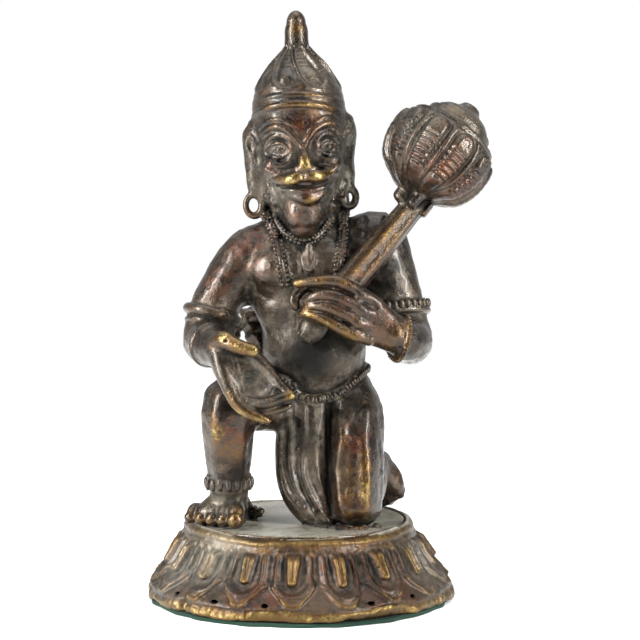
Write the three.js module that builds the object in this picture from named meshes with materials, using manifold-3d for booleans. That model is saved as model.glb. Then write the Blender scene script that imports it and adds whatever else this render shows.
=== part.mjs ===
// A small cast-bronze figure of a kneeling, monkey-faced attendant with a crown and a mace, let into a hollow
// lotus plinth with green felt glued underneath. Millimetres, +Z up. The figure faces -Y, and its own right
// side is at -X. The origin is the centre of the felt's underside.
import * as THREE from "three";
import { mergeVertices } from "three/addons/utils/BufferGeometryUtils.js";
import Module from "manifold-3d";

const wasm = await Module();
wasm.setup();

// Driving dimensions
const FIGURE_HEIGHT = 166.6; // from the top of the ground plate to the tip of the crown
const PLINTH_RADIUS = 51; // the rim at the foot of the plinth
const DECK_RADIUS = 37; // the lip at the top of the plinth
const DECK_HEIGHT = 25.4; // from the table to the top of the ground plate
const PLINTH_WALL = 2.6; // thickness of the plinth's cast wall
const RIM_HEIGHT = 3.6; // the plain moulding below the petals
const LIP_HEIGHT = 3.2; // the plain moulding above the petals
const LIP_STEP = 0.3; // how far the lip stands above the ground plate
const PETAL_COUNT = 18;
const PETAL_RELIEF = 1.8; // how far a petal stands proud of the skirt
const FIRST_PETAL = THREE.MathUtils.degToRad(-93); // the petal nearest the front
const SLOT_WIDTH = 3.2; // one pierced slot between two petals
const SLOT_HEIGHT = 1.3;
const LIP_WIDTH = 2.4; // the top of the lip around the ground plate
const PLATE_RADIUS = DECK_RADIUS - LIP_WIDTH; // the ground plate cast with the figure
const PLATE_THICKNESS = 2;
const SEAT_WIDTH = 3; // the plinth's ledge below the plate
const CLEARANCE = 0.3; // between separate pieces
const FELT_THICKNESS = 1.2;
const FELT_INSET = 0.5; // how far the felt stays inside the rim

const SUNK = 0.4; // how deep feet, knee and cloth run into the plate they are cast with

const X_AXIS = new THREE.Vector3(1, 0, 0);
const Y_AXIS = new THREE.Vector3(0, 1, 0);
const Z_AXIS = new THREE.Vector3(0, 0, 1);

// Solids and how they join

function solid(geometry) {
  const bare = new THREE.BufferGeometry();
  const plain = geometry.index ? geometry.toNonIndexed() : geometry;
  bare.setAttribute("position", plain.getAttribute("position"));
  const merged = mergeVertices(bare, 1e-4);
  return new wasm.Manifold(
    new wasm.Mesh({
      numProp: 3,
      vertProperties: new Float32Array(merged.attributes.position.array),
      triVerts: new Uint32Array(merged.index.array),
    }),
  );
}

function join(solids) {
  return solids.flat(4).reduce((whole, piece) => whole.add(piece));
}

// A casting is solid, so the small closed hollows that joined shapes leave between them are filled.
function filled(body) {
  return join(body.decompose().filter((shell) => shell.volume() > 0));
}

function meshOf(name, body, material) {
  const { numProp, numVert, vertProperties, triVerts } = body.getMesh();
  const positions = new Float32Array(numVert * 3);
  for (let i = 0; i < numVert; i++) {
    positions.set(vertProperties.subarray(i * numProp, i * numProp + 3), i * 3);
  }
  const geometry = new THREE.BufferGeometry();
  geometry.setAttribute("position", new THREE.BufferAttribute(positions, 3));
  geometry.setIndex(new THREE.BufferAttribute(triVerts, 1));
  geometry.computeVertexNormals();
  const mesh = new THREE.Mesh(geometry, material);
  mesh.name = name;
  return mesh;
}

// A closed surface through rings of points that all have the same count, shut by a pole at each end
function ringSurface(rings, firstPole, lastPole) {
  const sides = rings[0].length;
  const points = [firstPole, ...rings.flat(), lastPole];
  const at = (ring, side) => 1 + ring * sides + (side % sides);
  const last = points.length - 1;
  const faces = [];
  for (let side = 0; side < sides; side++) {
    faces.push([0, at(0, side + 1), at(0, side)]);
    for (let ring = 0; ring + 1 < rings.length; ring++) {
      faces.push([at(ring, side), at(ring, side + 1), at(ring + 1, side)]);
      faces.push([at(ring, side + 1), at(ring + 1, side + 1), at(ring + 1, side)]);
    }
    faces.push([last, at(rings.length - 1, side), at(rings.length - 1, side + 1)]);
  }
  const geometry = new THREE.BufferGeometry().setFromPoints(points);
  geometry.setIndex(faces.flat());
  const made = solid(geometry);
  return made.volume() < 0 ? solid(turnedInsideOut(geometry)) : made;
}

function turnedInsideOut(geometry) {
  const index = geometry.index.array;
  for (let i = 0; i < index.length; i += 3) {
    [index[i + 1], index[i + 2]] = [index[i + 2], index[i + 1]];
  }
  return geometry;
}

// Sculpting tools

// Uniform Catmull-Rom through rows of numbers, t from 0 to 1
function alongRows(rows, t) {
  const place = Math.min(t, 1) * (rows.length - 1);
  const i = Math.min(Math.floor(place), rows.length - 2);
  const f = place - i;
  const [b, c] = [rows[i], rows[i + 1]];
  const a = rows[i - 1] ?? b.map((v, k) => 2 * v - c[k]);
  const d = rows[i + 2] ?? c.map((v, k) => 2 * v - b[k]);
  return b.map(
    (_, k) =>
      0.5 *
      (2 * b[k] +
        (c[k] - a[k]) * f +
        (2 * a[k] - 5 * b[k] + 4 * c[k] - d[k]) * f * f +
        (3 * b[k] - a[k] - 3 * c[k] + d[k]) * f * f * f),
  );
}

// A rounded limb through stations [x, y, z, half width, half depth]. The width is measured along `across`.
// `relief(side, t)` is how far the surface stands proud, for folds, ribs and petals.
function limb(stations, { sides = 8, steps = 2, across = X_AXIS, dome = 0.75, relief = () => 0 } = {}) {
  const rows = stations.map(([x, y, z, wide, deep = wide]) => [x, y, z, wide, deep]);
  const count = (rows.length - 1) * steps;
  const DOME_SIZE = 0.72;
  const frames = [];
  for (let i = 0; i <= count; i++) {
    const t = i / count;
    const [x, y, z, wide, deep] = alongRows(rows, t);
    const ahead = alongRows(rows, Math.min(1, t + 0.5 / count));
    const behind = alongRows(rows, Math.max(0, t - 0.5 / count));
    const tangent = new THREE.Vector3(...[0, 1, 2].map((k) => ahead[k] - behind[k])).normalize();
    const width = across.clone().addScaledVector(tangent, -across.dot(tangent)).normalize();
    const depth = new THREE.Vector3().crossVectors(tangent, width);
    frames.push({ t, centre: new THREE.Vector3(x, y, z), tangent, width, depth, wide, deep });
  }
  const ringAt = ({ t, centre, tangent, width, depth, wide, deep }, size, shift) =>
    Array.from({ length: sides }, (_, side) => {
      const angle = (2 * Math.PI * (side + 0.5)) / sides;
      const proud = relief(side, t);
      return centre
        .clone()
        .addScaledVector(width, (wide + proud) * size * Math.cos(angle))
        .addScaledVector(depth, (deep + proud) * size * Math.sin(angle))
        .addScaledVector(tangent, shift);
    });
  const domeAt = (frame, sign) => {
    const reach = dome * Math.min(frame.wide, frame.deep);
    return ringAt(frame, DOME_SIZE, sign * reach * Math.sqrt(1 - DOME_SIZE ** 2));
  };
  const [first, last] = [frames[0], frames[frames.length - 1]];
  const pole = (frame, sign) =>
    frame.centre.clone().addScaledVector(frame.tangent, sign * dome * Math.min(frame.wide, frame.deep));
  const rings = [domeAt(first, -1), ...frames.map((frame) => ringAt(frame, 1, 0)), domeAt(last, 1)];
  return ringSurface(rings, pole(first, -1), pole(last, 1));
}

// An ellipsoid, turned by Euler angles in degrees
function lump(centre, radii, { turn = [0, 0, 0], detail = 2 } = {}) {
  const geometry = new THREE.IcosahedronGeometry(1, detail);
  const angles = turn.map(THREE.MathUtils.degToRad);
  geometry.scale(...radii);
  geometry.applyMatrix4(new THREE.Matrix4().makeRotationFromEuler(new THREE.Euler(...angles)));
  geometry.translate(...centre);
  return solid(geometry);
}

// A closed ring of round section about `axis`: `wide` and `deep` are its half widths to the section's middle
function hoop(centre, axis, wide, deep, thick, { sides = 6, steps = 20, flat = 1 } = {}) {
  const geometry = new THREE.TorusGeometry(1, 0.5, sides, steps);
  const position = geometry.getAttribute("position");
  for (let i = 0; i < position.count; i++) {
    const [x, y, z] = [position.getX(i), position.getY(i), position.getZ(i)];
    const round = Math.hypot(x, y);
    const out = (round - 1) * 2 * thick;
    position.setXYZ(i, (x / round) * (wide + out), (y / round) * (deep + out), z * 2 * thick * flat);
  }
  const toAxis = new THREE.Quaternion().setFromUnitVectors(Z_AXIS, axis.clone().normalize());
  geometry.applyQuaternion(toAxis);
  geometry.translate(...centre);
  return solid(geometry);
}

// A string of beads seen from a step away: a cord through points [x, z] that lies on the front of `ground`
function cordOver(ground, points, radius) {
  const mesh = meshOf("ground", ground, new THREE.MeshBasicMaterial({ side: THREE.DoubleSide }));
  const FAR = 200;
  const PROUD = 0.45;
  const laid = points.map(([x, z]) => {
    const ray = new THREE.Raycaster(new THREE.Vector3(x, -FAR, z), Y_AXIS);
    const front = ray.intersectObject(mesh)[0].point.y;
    return [x, front - PROUD * radius, z, radius];
  });
  return limb(laid, { sides: 5, steps: 1 });
}

// The figure, part by part, in stations above the ground plate

function torso() {
  const trunk = limb(
    [
      [6, 4, 28, 11, 8],
      [6.4, 3, 38, 17.5, 11.5],
      [4.8, 1.5, 47, 16.8, 12.8],
      [4.7, 0, 56, 17.4, 12.4],
      [3.9, -0.5, 66, 18.8, 13],
      [2.3, 0, 78, 21.8, 13],
      [1.2, 1, 88, 22, 12],
      [1.2, 2, 95, 17.5, 10.5],
      [1.4, 2, 102, 12.5, 9],
      [1.6, 1, 109, 10, 8.5],
    ],
    { sides: 11, steps: 1 },
  );
  const hair = limb(
    [
      [2.2, 5, 113, 14, 8],
      [2.6, 5, 104, 13.8, 7.6],
      [2.4, 5, 97, 10.6, 6.6],
    ],
    { sides: 9, steps: 1 },
  );
  const belly = lump([5, -3.4, 55], [14.5, 11.6, 12], { detail: 1 });
  return [trunk, hair, belly];
}

function belt() {
  const [wide, deep] = [17.4, 13.4];
  const DROP = 4.2; // how much lower the belt sits in front
  return hoop([5, 1, 47], new THREE.Vector3(0, -DROP / deep, 1), wide, deep, 1.7, { sides: 5, steps: 16 });
}

function rightArm() {
  const upper = limb(
    [
      [-8, 3, 92.6, 7.6],
      [-15.6, 1.5, 89, 9.4],
      [-22, 0.4, 80.6, 9.4],
      [-26.6, -0.8, 71.6, 9.2],
      [-27.6, -1.2, 68.4, 11.4],
      [-28.2, -1.8, 65.2, 11.6],
      [-28.6, -2.2, 63, 9.4],
      [-30, -4, 59.6, 8.6],
    ],
    { steps: 1 },
  );
  const fore = limb(
    [
      [-30.4, -5, 60.8, 7.6],
      [-29.8, -12, 60.4, 7.2],
      [-29, -17, 59.4, 6.8],
      [-28.8, -18, 59.3, 7.8],
      [-27.8, -21.6, 59.2, 7.6],
      [-27.4, -22.6, 59.1, 6.2],
      [-25.6, -26, 58.6, 5.2],
    ],
    { steps: 1 },
  );
  const boss = lump([-24.6, -12, 68.6], [3, 1.8, 3], { detail: 1 });
  return [upper, fore, boss];
}

// The open right hand hangs over the knee, its cupped palm to the front.
function rightHand() {
  const palm = limb(
    [
      [-25.5, -26.5, 59, 5.4, 4.2],
      [-22, -30, 54.5, 7.2, 3.6],
      [-17.5, -31.5, 49.5, 7.4, 3],
      [-13.5, -31.5, 45.5, 6, 2.6],
    ],
    { across: new THREE.Vector3(0.7, 0.1, 0.72), steps: 1 },
  );
  const digit = { sides: 6, steps: 1 };
  const heel = limb([[-26.5, -29, 57, 2.6], [-24, -32.5, 50, 2.4], [-19, -34, 44, 2]], digit);
  const thumb = limb([[-25, -29.5, 62.5, 3.4], [-20, -33.6, 62.3, 3], [-14.2, -36, 60, 2.2]], digit);
  const fingers = [
    [[-15, -32, 48, 2.4], [-9, -34.5, 43.2, 2.1], [-2.2, -36.6, 45.6, 1.6]],
    [[-16, -32.5, 46, 2.2], [-10.5, -34.5, 41.4, 2], [-5, -35.2, 41.8, 1.5]],
    [[-18, -32.5, 45, 2.2], [-13, -34, 40.2, 2], [-8, -34.2, 38.8, 1.4]],
    [[-20.5, -33, 44.6, 2.2], [-16, -34.4, 39.6, 2], [-10.6, -34.4, 37.4, 1.4]],
  ].map((finger) => limb(finger, { sides: 5, steps: 1 }));
  return [palm, heel, thumb, fingers];
}

function leftArm() {
  const upper = limb(
    [
      [10, 3, 93, 8],
      [18, 2, 93, 8.4],
      [25.8, 1, 93.8, 9.4],
      [28.4, 0.4, 85.6, 9],
      [31.4, -0.4, 77.4, 8.5],
      [32.6, -0.9, 73.6, 8.6],
      [33, -1.1, 72, 10.2],
      [33.4, -1.5, 69.2, 10.2],
      [34, -1.9, 67.4, 8.8],
      [35, -4.4, 61.6, 8],
    ],
    { steps: 1 },
  );
  const fore = limb(
    [
      [35.6, -4, 61, 7.6],
      [36, -11, 60.4, 7.4],
      [35.8, -15.6, 60.8, 6.8],
      [35.6, -17.4, 60.8, 6.6],
      [35.4, -18.2, 61, 7.8],
      [33.8, -20.6, 62, 7.6],
      [33, -21.2, 62.2, 6.2],
      [29, -23.2, 64.4, 5.8],
    ],
    { steps: 1 },
  );
  return [upper, fore];
}

// The left hand closes round the mace, the back of the hand to the front.
function leftHand() {
  const back = limb(
    [
      [31.5, -22, 63.2, 5, 5.4],
      [26, -24.4, 67, 4.4, 7.8],
      [20, -25.2, 71, 4, 8.2],
      [14.5, -25.4, 74.4, 3.4, 7.4],
    ],
    { across: Y_AXIS, steps: 1 },
  );
  const fingers = [
    [[18, -25.4, 79.6, 2.2], [10, -26.6, 83, 2], [-1.4, -24.4, 81.6, 1.7]],
    [[15.5, -26.6, 76.6, 2.4], [8, -27.6, 79.6, 2.2], [1, -24.6, 77.6, 1.6]],
    [[15.5, -26.6, 72.4, 2.4], [8, -27.4, 75.6, 2.2], [1, -24.2, 73.8, 1.6]],
    [[17, -25.8, 67.6, 2.4], [9.5, -27, 70.4, 2.2], [0.6, -24, 71.6, 1.6]],
  ].map((finger) => limb(finger, { sides: 5, steps: 1 }));
  const thumb = limb([[8, -17, 79, 2.6], [1, -18, 79.5, 2.4], [-2.4, -22, 76, 1.9]], { sides: 5, steps: 1 });
  return [back, fingers, thumb];
}

function mace() {
  const foot = new THREE.Vector3(3.6, -19.4, 65);
  const neck = new THREE.Vector3(38.1, -9, 106.1); // where the handle runs into the head
  const heart = new THREE.Vector3(45.6, -7, 122.2); // a little off the handle's line
  const handle = neck.clone().sub(foot).normalize();
  const at = (distance) => foot.clone().addScaledVector(handle, distance).toArray();
  const shaft = limb(
    [
      [...at(-3), 2.2],
      [...at(-1), 4.4],
      [...at(3), 4.4],
      [...at(5), 3.8],
      [...at(14), 4.8, 4.4],
      [...at(26), 5, 4.6],
      [...at(42), 4.5, 4.3],
      [...at(51), 4.1, 4],
      [...at(53), 5.2, 5],
      [...at(60), 4.6],
    ],
    { sides: 8, steps: 1, across: new THREE.Vector3(0.79, 0, -0.62) },
  );
  const RADIUS = 18.1;
  const LATITUDES = [-72, -48, -22, -2, 6, 12, 30, 37, 44, 66];
  const STEPS_IN = [0, 0, 0, 0, 1, 0, 0.4, -0.4, 1, 1.2];
  const along = heart.clone().sub(foot).normalize();
  const globe = LATITUDES.map((latitude) => {
    const angle = THREE.MathUtils.degToRad(latitude);
    const middle = heart.clone().addScaledVector(along, RADIUS * Math.sin(angle));
    return [...middle.toArray(), RADIUS * Math.cos(angle)];
  });
  const LOBES = 12;
  const SIDES_OF_A_LOBE = 2;
  const GROOVE = 1.6;
  // Lobes from the handle to the widest part, then a plain band, a ridge and a flat dome with a knob
  const carved = (side, t) => {
    const row = Math.round(t * (LATITUDES.length - 1));
    const grooved = LATITUDES[row] < 0 && side % SIDES_OF_A_LOBE === 0;
    return grooved ? -GROOVE : -STEPS_IN[row];
  };
  const head = limb(globe, { sides: LOBES * SIDES_OF_A_LOBE, steps: 1, relief: carved, dome: 0.4 });
  const knobAt = (distance) => heart.clone().addScaledVector(along, distance).toArray();
  const knob = limb([[...knobAt(15), 5], [...knobAt(19.6), 3.2]], { sides: 8, steps: 1, dome: 0.4 });
  return [shaft, head, knob];
}

function rightLeg() {
  const thigh = limb(
    [
      [2, 2, 38, 10, 9],
      [-8, -6, 39.6, 9.8, 9.4],
      [-17, -14, 40.8, 9.4, 9.6],
      [-22.6, -18.6, 41.4, 8.6, 8.6],
    ],
    { sides: 10, steps: 1 },
  );
  const shin = limb(
    [
      [-23, -19, 42.6, 8, 8.2],
      [-23.3, -19.6, 37, 8.6, 8.8],
      [-23.4, -19, 30, 8, 8.4],
      [-23.4, -16.4, 22, 7.2, 7.8],
      [-23.4, -14.2, 17.6, 6.8, 7],
      [-23.4, -14, 16.6, 8, 8.2],
      [-23.4, -13.6, 13.2, 8.4, 8.6],
      [-23.4, -13.2, 12.2, 6.4, 6.6],
      [-23.4, -12, 6, 5.7, 6],
      [-23.4, -11.5, 2, 5.6, 5.8],
    ],
    { steps: 1 },
  );
  return [thigh, shin];
}

function rightFoot() {
  const sole = limb(
    [
      [-21, -5.5, 3, 4.6, 3.4],
      [-25.4, -10.6, 4.2, 7, 4.8],
      [-27.4, -14.8, 3.4, 8.8, 3.8],
      [-28.4, -17.4, 2.8, 9, 2.8],
    ],
    { across: new THREE.Vector3(0.86, -0.5, 0), dome: 0.5, steps: 1, sides: 8 },
  );
  const TOES = 5;
  const toes = Array.from({ length: TOES }, (_, i) => {
    const t = i / (TOES - 1);
    const size = 2.3 + 0.7 * (1 - t) ** 2;
    const root = [-22.6 - 11.6 * t, -19.6 + 7.6 * t, 2.9];
    const reach = 4.4;
    const tip = [root[0] - reach * (0.2 + 0.5 * t), root[1] - reach * (1 - 0.25 * t), 2.4];
    return limb([[...root, size * 0.9], [...tip, size]], { sides: 5, steps: 1 });
  });
  return [sole, toes];
}

function leftLeg() {
  const thigh = limb(
    [
      [14, 3, 43, 10, 10.5],
      [17.6, -3, 36, 10, 10.6],
      [18.4, -8.5, 26, 9.4, 10],
      [18.4, -11.6, 15, 9, 9.4],
      [18.2, -13.2, 5.5, 8.4, 8.8],
    ],
    { sides: 10, steps: 1, dome: 0.7 },
  );
  const calf = limb(
    [
      [18.6, -9, 6.5, 7, 6],
      [21.4, 1, 10.5, 7.6, 8.8],
      [23.6, 10, 13, 6.6, 8.4],
      [26.4, 16.6, 14.5, 5, 7],
      [28, 19.4, 14, 4.4, 6],
    ],
    { sides: 8, steps: 1 },
  );
  const foot = limb(
    [
      [27.4, 18.6, 15.6, 4, 4.6],
      [30.4, 20, 10.6, 5, 5],
      [31.6, 20.6, 6, 5, 4.2],
      [31.6, 21.4, 2.6, 4.4, 3],
    ],
    { sides: 8, steps: 1 },
  );
  return [thigh, calf, foot];
}

function loincloth() {
  const FOLD = 1.3;
  const folds = (side) => (side % 2 === 0 ? FOLD : 0);
  const fall = limb(
    [
      [1.8, -5, 41, 8.4, 7.2],
      [1.6, -8, 32, 8.6, 5.8],
      [0.8, -9.6, 21, 8.6, 5],
      [2, -11, 13, 8.8, 4.4],
      [6, -12.4, 6.4, 7.2, 4],
      [10, -13.4, 1.6, 4.8, 3.6],
    ],
    { sides: 14, steps: 1, relief: folds },
  );
  const seat = lump([6, 7, 33], [16.4, 10, 11.4], { detail: 1 });
  return [fall, seat];
}

// The tail leaves the seat, loops up behind the right arm, drops behind the leg and ends curled on the plate.
function tail() {
  return limb(
    [
      [6, 12, 32, 5],
      [-3, 18, 35, 4.6],
      [-10, 19, 44, 4.2],
      [-13.4, 16, 55, 4.2],
      [-15.4, 13, 65, 4.4],
      [-16.4, 16.5, 71, 4.2],
      [-18.6, 21, 66, 3.8],
      [-20.4, 22.5, 54, 3.4],
      [-23.4, 21.6, 41, 3],
      [-26.2, 17, 28, 2.8],
      [-26.6, 11.5, 14, 2.6],
      [-23.5, 6.5, 5.4, 2.5],
      [-18, 1, 2.4, 2.3],
      [-14, -4.5, 2.2, 2],
      [-13.4, -8, 3.8, 1.4],
    ],
    { sides: 6, steps: 1 },
  );
}

function head() {
  const skull = limb(
    [
      [1.2, -1, 106, 10.6, 9.5],
      [1, -2, 114, 13.6, 12.5],
      [0.6, -1, 124, 15, 14.6],
      [0, 0, 134, 15.6, 15],
      [-0.4, 1, 141, 14.6, 14.6],
    ],
    { sides: 12, steps: 1 },
  );
  const beard = limb(
    [
      [3.4, -9, 111, 7.6, 6],
      [2.6, -11, 105, 9.4, 6.6],
      [2.2, -11, 100, 7.4, 5.4],
    ],
    { steps: 1 },
  );
  const muzzle = lump([3.6, -11.4, 114.6], [10.8, 9.6, 7.1], { detail: 1 });
  const upperLip = limb(
    [
      [-6.4, -14.4, 117.4, 1.4],
      [-1.6, -18.4, 115.6, 2],
      [3.6, -20.4, 115.4, 2.2],
      [8.8, -18.4, 116.2, 2],
      [13, -13.6, 117.6, 1.4],
    ],
    { sides: 6, steps: 1, across: Z_AXIS },
  );
  const lowerLip = limb(
    [
      [-1.4, -16.4, 111, 1.4],
      [4.4, -18.8, 109.8, 2],
      [10, -15.8, 111.2, 1.4],
    ],
    { sides: 6, steps: 1, across: Z_AXIS },
  );
  const nose = limb(
    [
      [2.2, -13.4, 127.4, 1.9],
      [2.8, -17.2, 122.4, 2.2],
      [3.2, -19.6, 119, 2.9],
    ],
    { sides: 6, steps: 1 },
  );
  const eyes = [[-5.9, 124.2], [9.8, 124.8]].map(([x, z]) => [
    lump([x, -13, z], [3, 2.6, 2.3], { detail: 1 }),
    limb([[x, -11, z - 0.3, 5.4, 5], [x, -12.6, z - 0.3, 4.8, 4.4]], { sides: 9, steps: 1, dome: 0.12 }),
  ]);
  const brows = [-1, 1].map((side) =>
    limb(
      [
        [2 + side * 1.2, -15.2, 128.4, 1.2],
        [2 + side * 5.4, -14.6, 132, 1.4],
        [2 + side * 9.6, -12.4, 131.6, 1.3],
        [2 + side * 12.4, -9.4, 128, 1],
      ],
      { sides: 5, steps: 1, across: Z_AXIS },
    ),
  );
  return [skull, beard, muzzle, upperLip, lowerLip, nose, eyes, brows];
}

function ears() {
  const ear = { sides: 7, steps: 1 };
  const ring = { sides: 4, steps: 10 };
  const right = [
    limb(
      [
        [-16, 2, 131.5, 2.6, 4.4],
        [-16.8, 1.2, 126, 2.8, 4.8],
        [-15.8, 0.6, 118, 2.8, 4],
        [-14.8, 0, 111, 2.6, 3],
      ],
      ear,
    ),
    hoop([-15.2, -0.6, 105.8], new THREE.Vector3(0.1, -1, 0), 3, 4, 1.3, ring),
  ];
  const left = [
    limb(
      [
        [15.8, 2, 133.5, 2.8, 4.6],
        [16.4, 1.2, 128, 2.8, 5],
        [15.6, 0.6, 120, 2.8, 4.4],
        [15.6, 0, 114, 2.8, 3.2],
      ],
      ear,
    ),
    hoop([16, -0.6, 109.4], new THREE.Vector3(-0.1, -1, 0), 2.7, 3.6, 1.7, ring),
  ];
  return [right, left];
}

function crown() {
  const SIDES = 16;
  const RIB_EVERY = 2;
  const profile = [
    [-0.4, 0.6, 135, 16],
    [-0.4, 0.6, 136.6, 16.9],
    [-0.4, 0.6, 138.2, 16],
    [-0.5, 0.6, 139.6, 16.5],
    [-0.6, 0.6, 141, 15.2],
    [-1, 0.6, 147, 12.2],
    [-1.1, 0.4, 152.8, 8.4],
    [-1.2, 0.2, 158, 4.8],
    [-1.2, 0, 159.4, 3.4],
    [-1.1, 0, 164, 3.7],
    [-1.4, 0, 167.4, 2.8],
  ];
  const RIBS_FROM = 0.44;
  const RIBS_TO = 0.74;
  const RIB = 0.9;
  const ribs = (side, t) => (side % RIB_EVERY === 0 && t > RIBS_FROM && t < RIBS_TO ? RIB : 0);
  return limb(profile, { sides: SIDES, steps: 1, relief: ribs, dome: 0.8 });
}

function necklaces() {
  const chest = join([torso(), head()]);
  const collar = cordOver(chest, [[-9, 100], [-7, 96], [-2, 92.6], [3, 91.6], [8.6, 94], [11.4, 98]], 1.2);
  const downTheRight = [[-10, 100], [-11, 96], [-8.8, 88], [-5, 80], [-1.8, 73]];
  const upTheLeft = [[5, 69], [11, 74], [14.6, 82], [15, 90], [12.6, 97]];
  const mala = cordOver(chest, [...downTheRight, ...upTheLeft], 1.6);
  const pendant = lump([2.4, -11.2, 86.6], [2.4, 2.6, 4.8], { detail: 1 });
  return [collar, mala, pendant];
}

function groundPlate() {
  const plate = new THREE.CylinderGeometry(PLATE_RADIUS, PLATE_RADIUS, PLATE_THICKNESS, 48);
  plate.rotateX(Math.PI / 2);
  plate.translate(0, 0, DECK_HEIGHT - PLATE_THICKNESS / 2);
  return solid(plate);
}

function figure() {
  const pieces = [
    torso, belt, rightArm, rightHand, leftArm, leftHand, mace,
    rightLeg, rightFoot, leftLeg, loincloth, tail, head, ears, crown, necklaces,
  ];
  const carving = join(pieces.map((piece) => piece()));
  const placed = carving.scale(FIGURE_HEIGHT / carving.boundingBox().max[2]).translate([0, 0, DECK_HEIGHT]);
  // Nothing of the carving reaches below the plate it is cast with, or the lip that its toes overhang.
  const BIG = 4 * FIGURE_HEIGHT;
  const below = new THREE.BoxGeometry(BIG, BIG, BIG);
  below.translate(0, 0, DECK_HEIGHT + LIP_STEP + CLEARANCE - BIG / 2);
  const upper = placed.subtract(solid(below));
  const core = new THREE.CylinderGeometry(PLATE_RADIUS, PLATE_RADIUS, PLATE_THICKNESS + SUNK + CLEARANCE, 48);
  core.rotateX(Math.PI / 2);
  core.translate(0, 0, DECK_HEIGHT);
  return filled(join([upper, placed.intersect(solid(core)), groundPlate()]));
}

// The plinth

// Outline of the skirt without petals: radius at a share of the height between rim and lip
function skirtRadius(share) {
  const STRAIGHT = 0.55; // of the way from the lip to the rim, in an even slope
  const FLARED = 0.42; // and in the curve that sweeps out above the rim
  const SWEEP = 2.6;
  const down = 1 - share;
  return DECK_RADIUS + (PLINTH_RADIUS - DECK_RADIUS) * (STRAIGHT * down + FLARED * down ** SWEEP);
}

// How proud a petal stands: u from -1 to 1 across its width, share from 0 at the rim to 1 at the lip
function petalRelief(u, share) {
  if (share <= 0 || share >= 1) return 0;
  const PETAL_TIP = 0.2; // the U-shaped petals end here, and a short point runs on to the rim
  const MIDDLE = 0.1;
  const EDGE = 0.7;
  const [POINT, SIDE] = [0.5, 0.7]; // how proud the point and the petal's sides stand beside its middle
  const middle = Math.abs(u) < MIDDLE;
  if (share < PETAL_TIP) return middle ? POINT * PETAL_RELIEF : 0;
  if (Math.abs(u) > EDGE) return 0;
  return middle ? PETAL_RELIEF : SIDE * PETAL_RELIEF;
}

function lotusPlinth() {
  const COLUMNS = 5; // across one petal
  const ROWS = [0, 0.12, 0.22, 0.42, 0.86, 1];
  const LIP_ROUND = 0.6; // the lip's rounded edge
  const foot = FELT_THICKNESS + CLEARANCE;
  const petalFoot = foot + RIM_HEIGHT;
  const top = DECK_HEIGHT + LIP_STEP;
  const petalTop = top - LIP_HEIGHT;
  const total = PETAL_COUNT * COLUMNS;
  const ring = (z, radiusAt) =>
    Array.from({ length: total }, (_, i) => {
      const angle = FIRST_PETAL + (2 * Math.PI * i) / total;
      const u = (((i + COLUMNS / 2) % COLUMNS) / COLUMNS) * 2 - 1;
      const radius = radiusAt(u);
      return new THREE.Vector3(radius * Math.cos(angle), radius * Math.sin(angle), z);
    });
  const rings = [
    ring(foot, () => PLINTH_RADIUS),
    ...ROWS.map((share) =>
      ring(petalFoot + share * (petalTop - petalFoot), (u) => skirtRadius(share) + petalRelief(u, share)),
    ),
    ring(top - LIP_ROUND, () => DECK_RADIUS + LIP_ROUND),
    ring(top, () => DECK_RADIUS),
  ];
  const block = ringSurface(rings, new THREE.Vector3(0, 0, foot), new THREE.Vector3(0, 0, top));
  return block.subtract(hollow(foot, petalFoot)).subtract(plateSeat()).subtract(slots(petalFoot));
}

// The space inside the plinth, a wall's thickness behind the skirt
function hollow(foot, petalFoot) {
  const ROWS = [0, 0.5, 1];
  const roof = DECK_HEIGHT - PLATE_THICKNESS - CLEARANCE - PLINTH_WALL;
  const wallAt = (share) => skirtRadius(share) - PLINTH_WALL;
  const profile = [
    new THREE.Vector2(0, foot - 1),
    new THREE.Vector2(wallAt(0), foot - 1),
    ...ROWS.map((share) => new THREE.Vector2(wallAt(share), petalFoot + share * (roof - petalFoot))),
    new THREE.Vector2(PLATE_RADIUS - SEAT_WIDTH, roof),
    new THREE.Vector2(PLATE_RADIUS - SEAT_WIDTH, DECK_HEIGHT + 1),
    new THREE.Vector2(0, DECK_HEIGHT + 1),
  ];
  return latheSolid(profile, 36);
}

function plateSeat() {
  const radius = PLATE_RADIUS + CLEARANCE;
  const seat = new THREE.CylinderGeometry(radius, radius, PLATE_THICKNESS + CLEARANCE + 2, 48);
  seat.rotateX(Math.PI / 2);
  seat.translate(0, 0, DECK_HEIGHT - PLATE_THICKNESS - CLEARANCE + (PLATE_THICKNESS + CLEARANCE + 2) / 2);
  return solid(seat);
}

function latheSolid(profile, sides) {
  const geometry = new THREE.LatheGeometry(profile, sides);
  geometry.rotateX(Math.PI / 2);
  return solid(dropFlat(geometry));
}

// A lathe leaves triangles of no area where its outline meets the axis.
function dropFlat(geometry) {
  const plain = geometry.toNonIndexed().getAttribute("position");
  const SMALL = 1e-4;
  const kept = [];
  for (let i = 0; i < plain.count; i += 3) {
    const corners = [0, 1, 2].map((k) => new THREE.Vector3().fromBufferAttribute(plain, i + k));
    const sides = corners.map((corner, k) => corner.distanceTo(corners[(k + 1) % 3]));
    if (Math.min(...sides) > SMALL) kept.push(...corners);
  }
  return new THREE.BufferGeometry().setFromPoints(kept);
}

// One slot low between each pair of petals, but for the pair where the casting closed it
function slots(petalFoot) {
  return join(
    Array.from({ length: PETAL_COUNT - 1 }, (_, i) => {
      const angle = FIRST_PETAL + (2 * Math.PI * (i + 1.5)) / PETAL_COUNT;
      const slot = new THREE.BoxGeometry(4 * PLINTH_WALL, SLOT_WIDTH, SLOT_HEIGHT);
      slot.translate(skirtRadius(0), 0, petalFoot + SLOT_HEIGHT);
      slot.rotateZ(angle);
      return solid(slot);
    }),
  );
}

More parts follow.
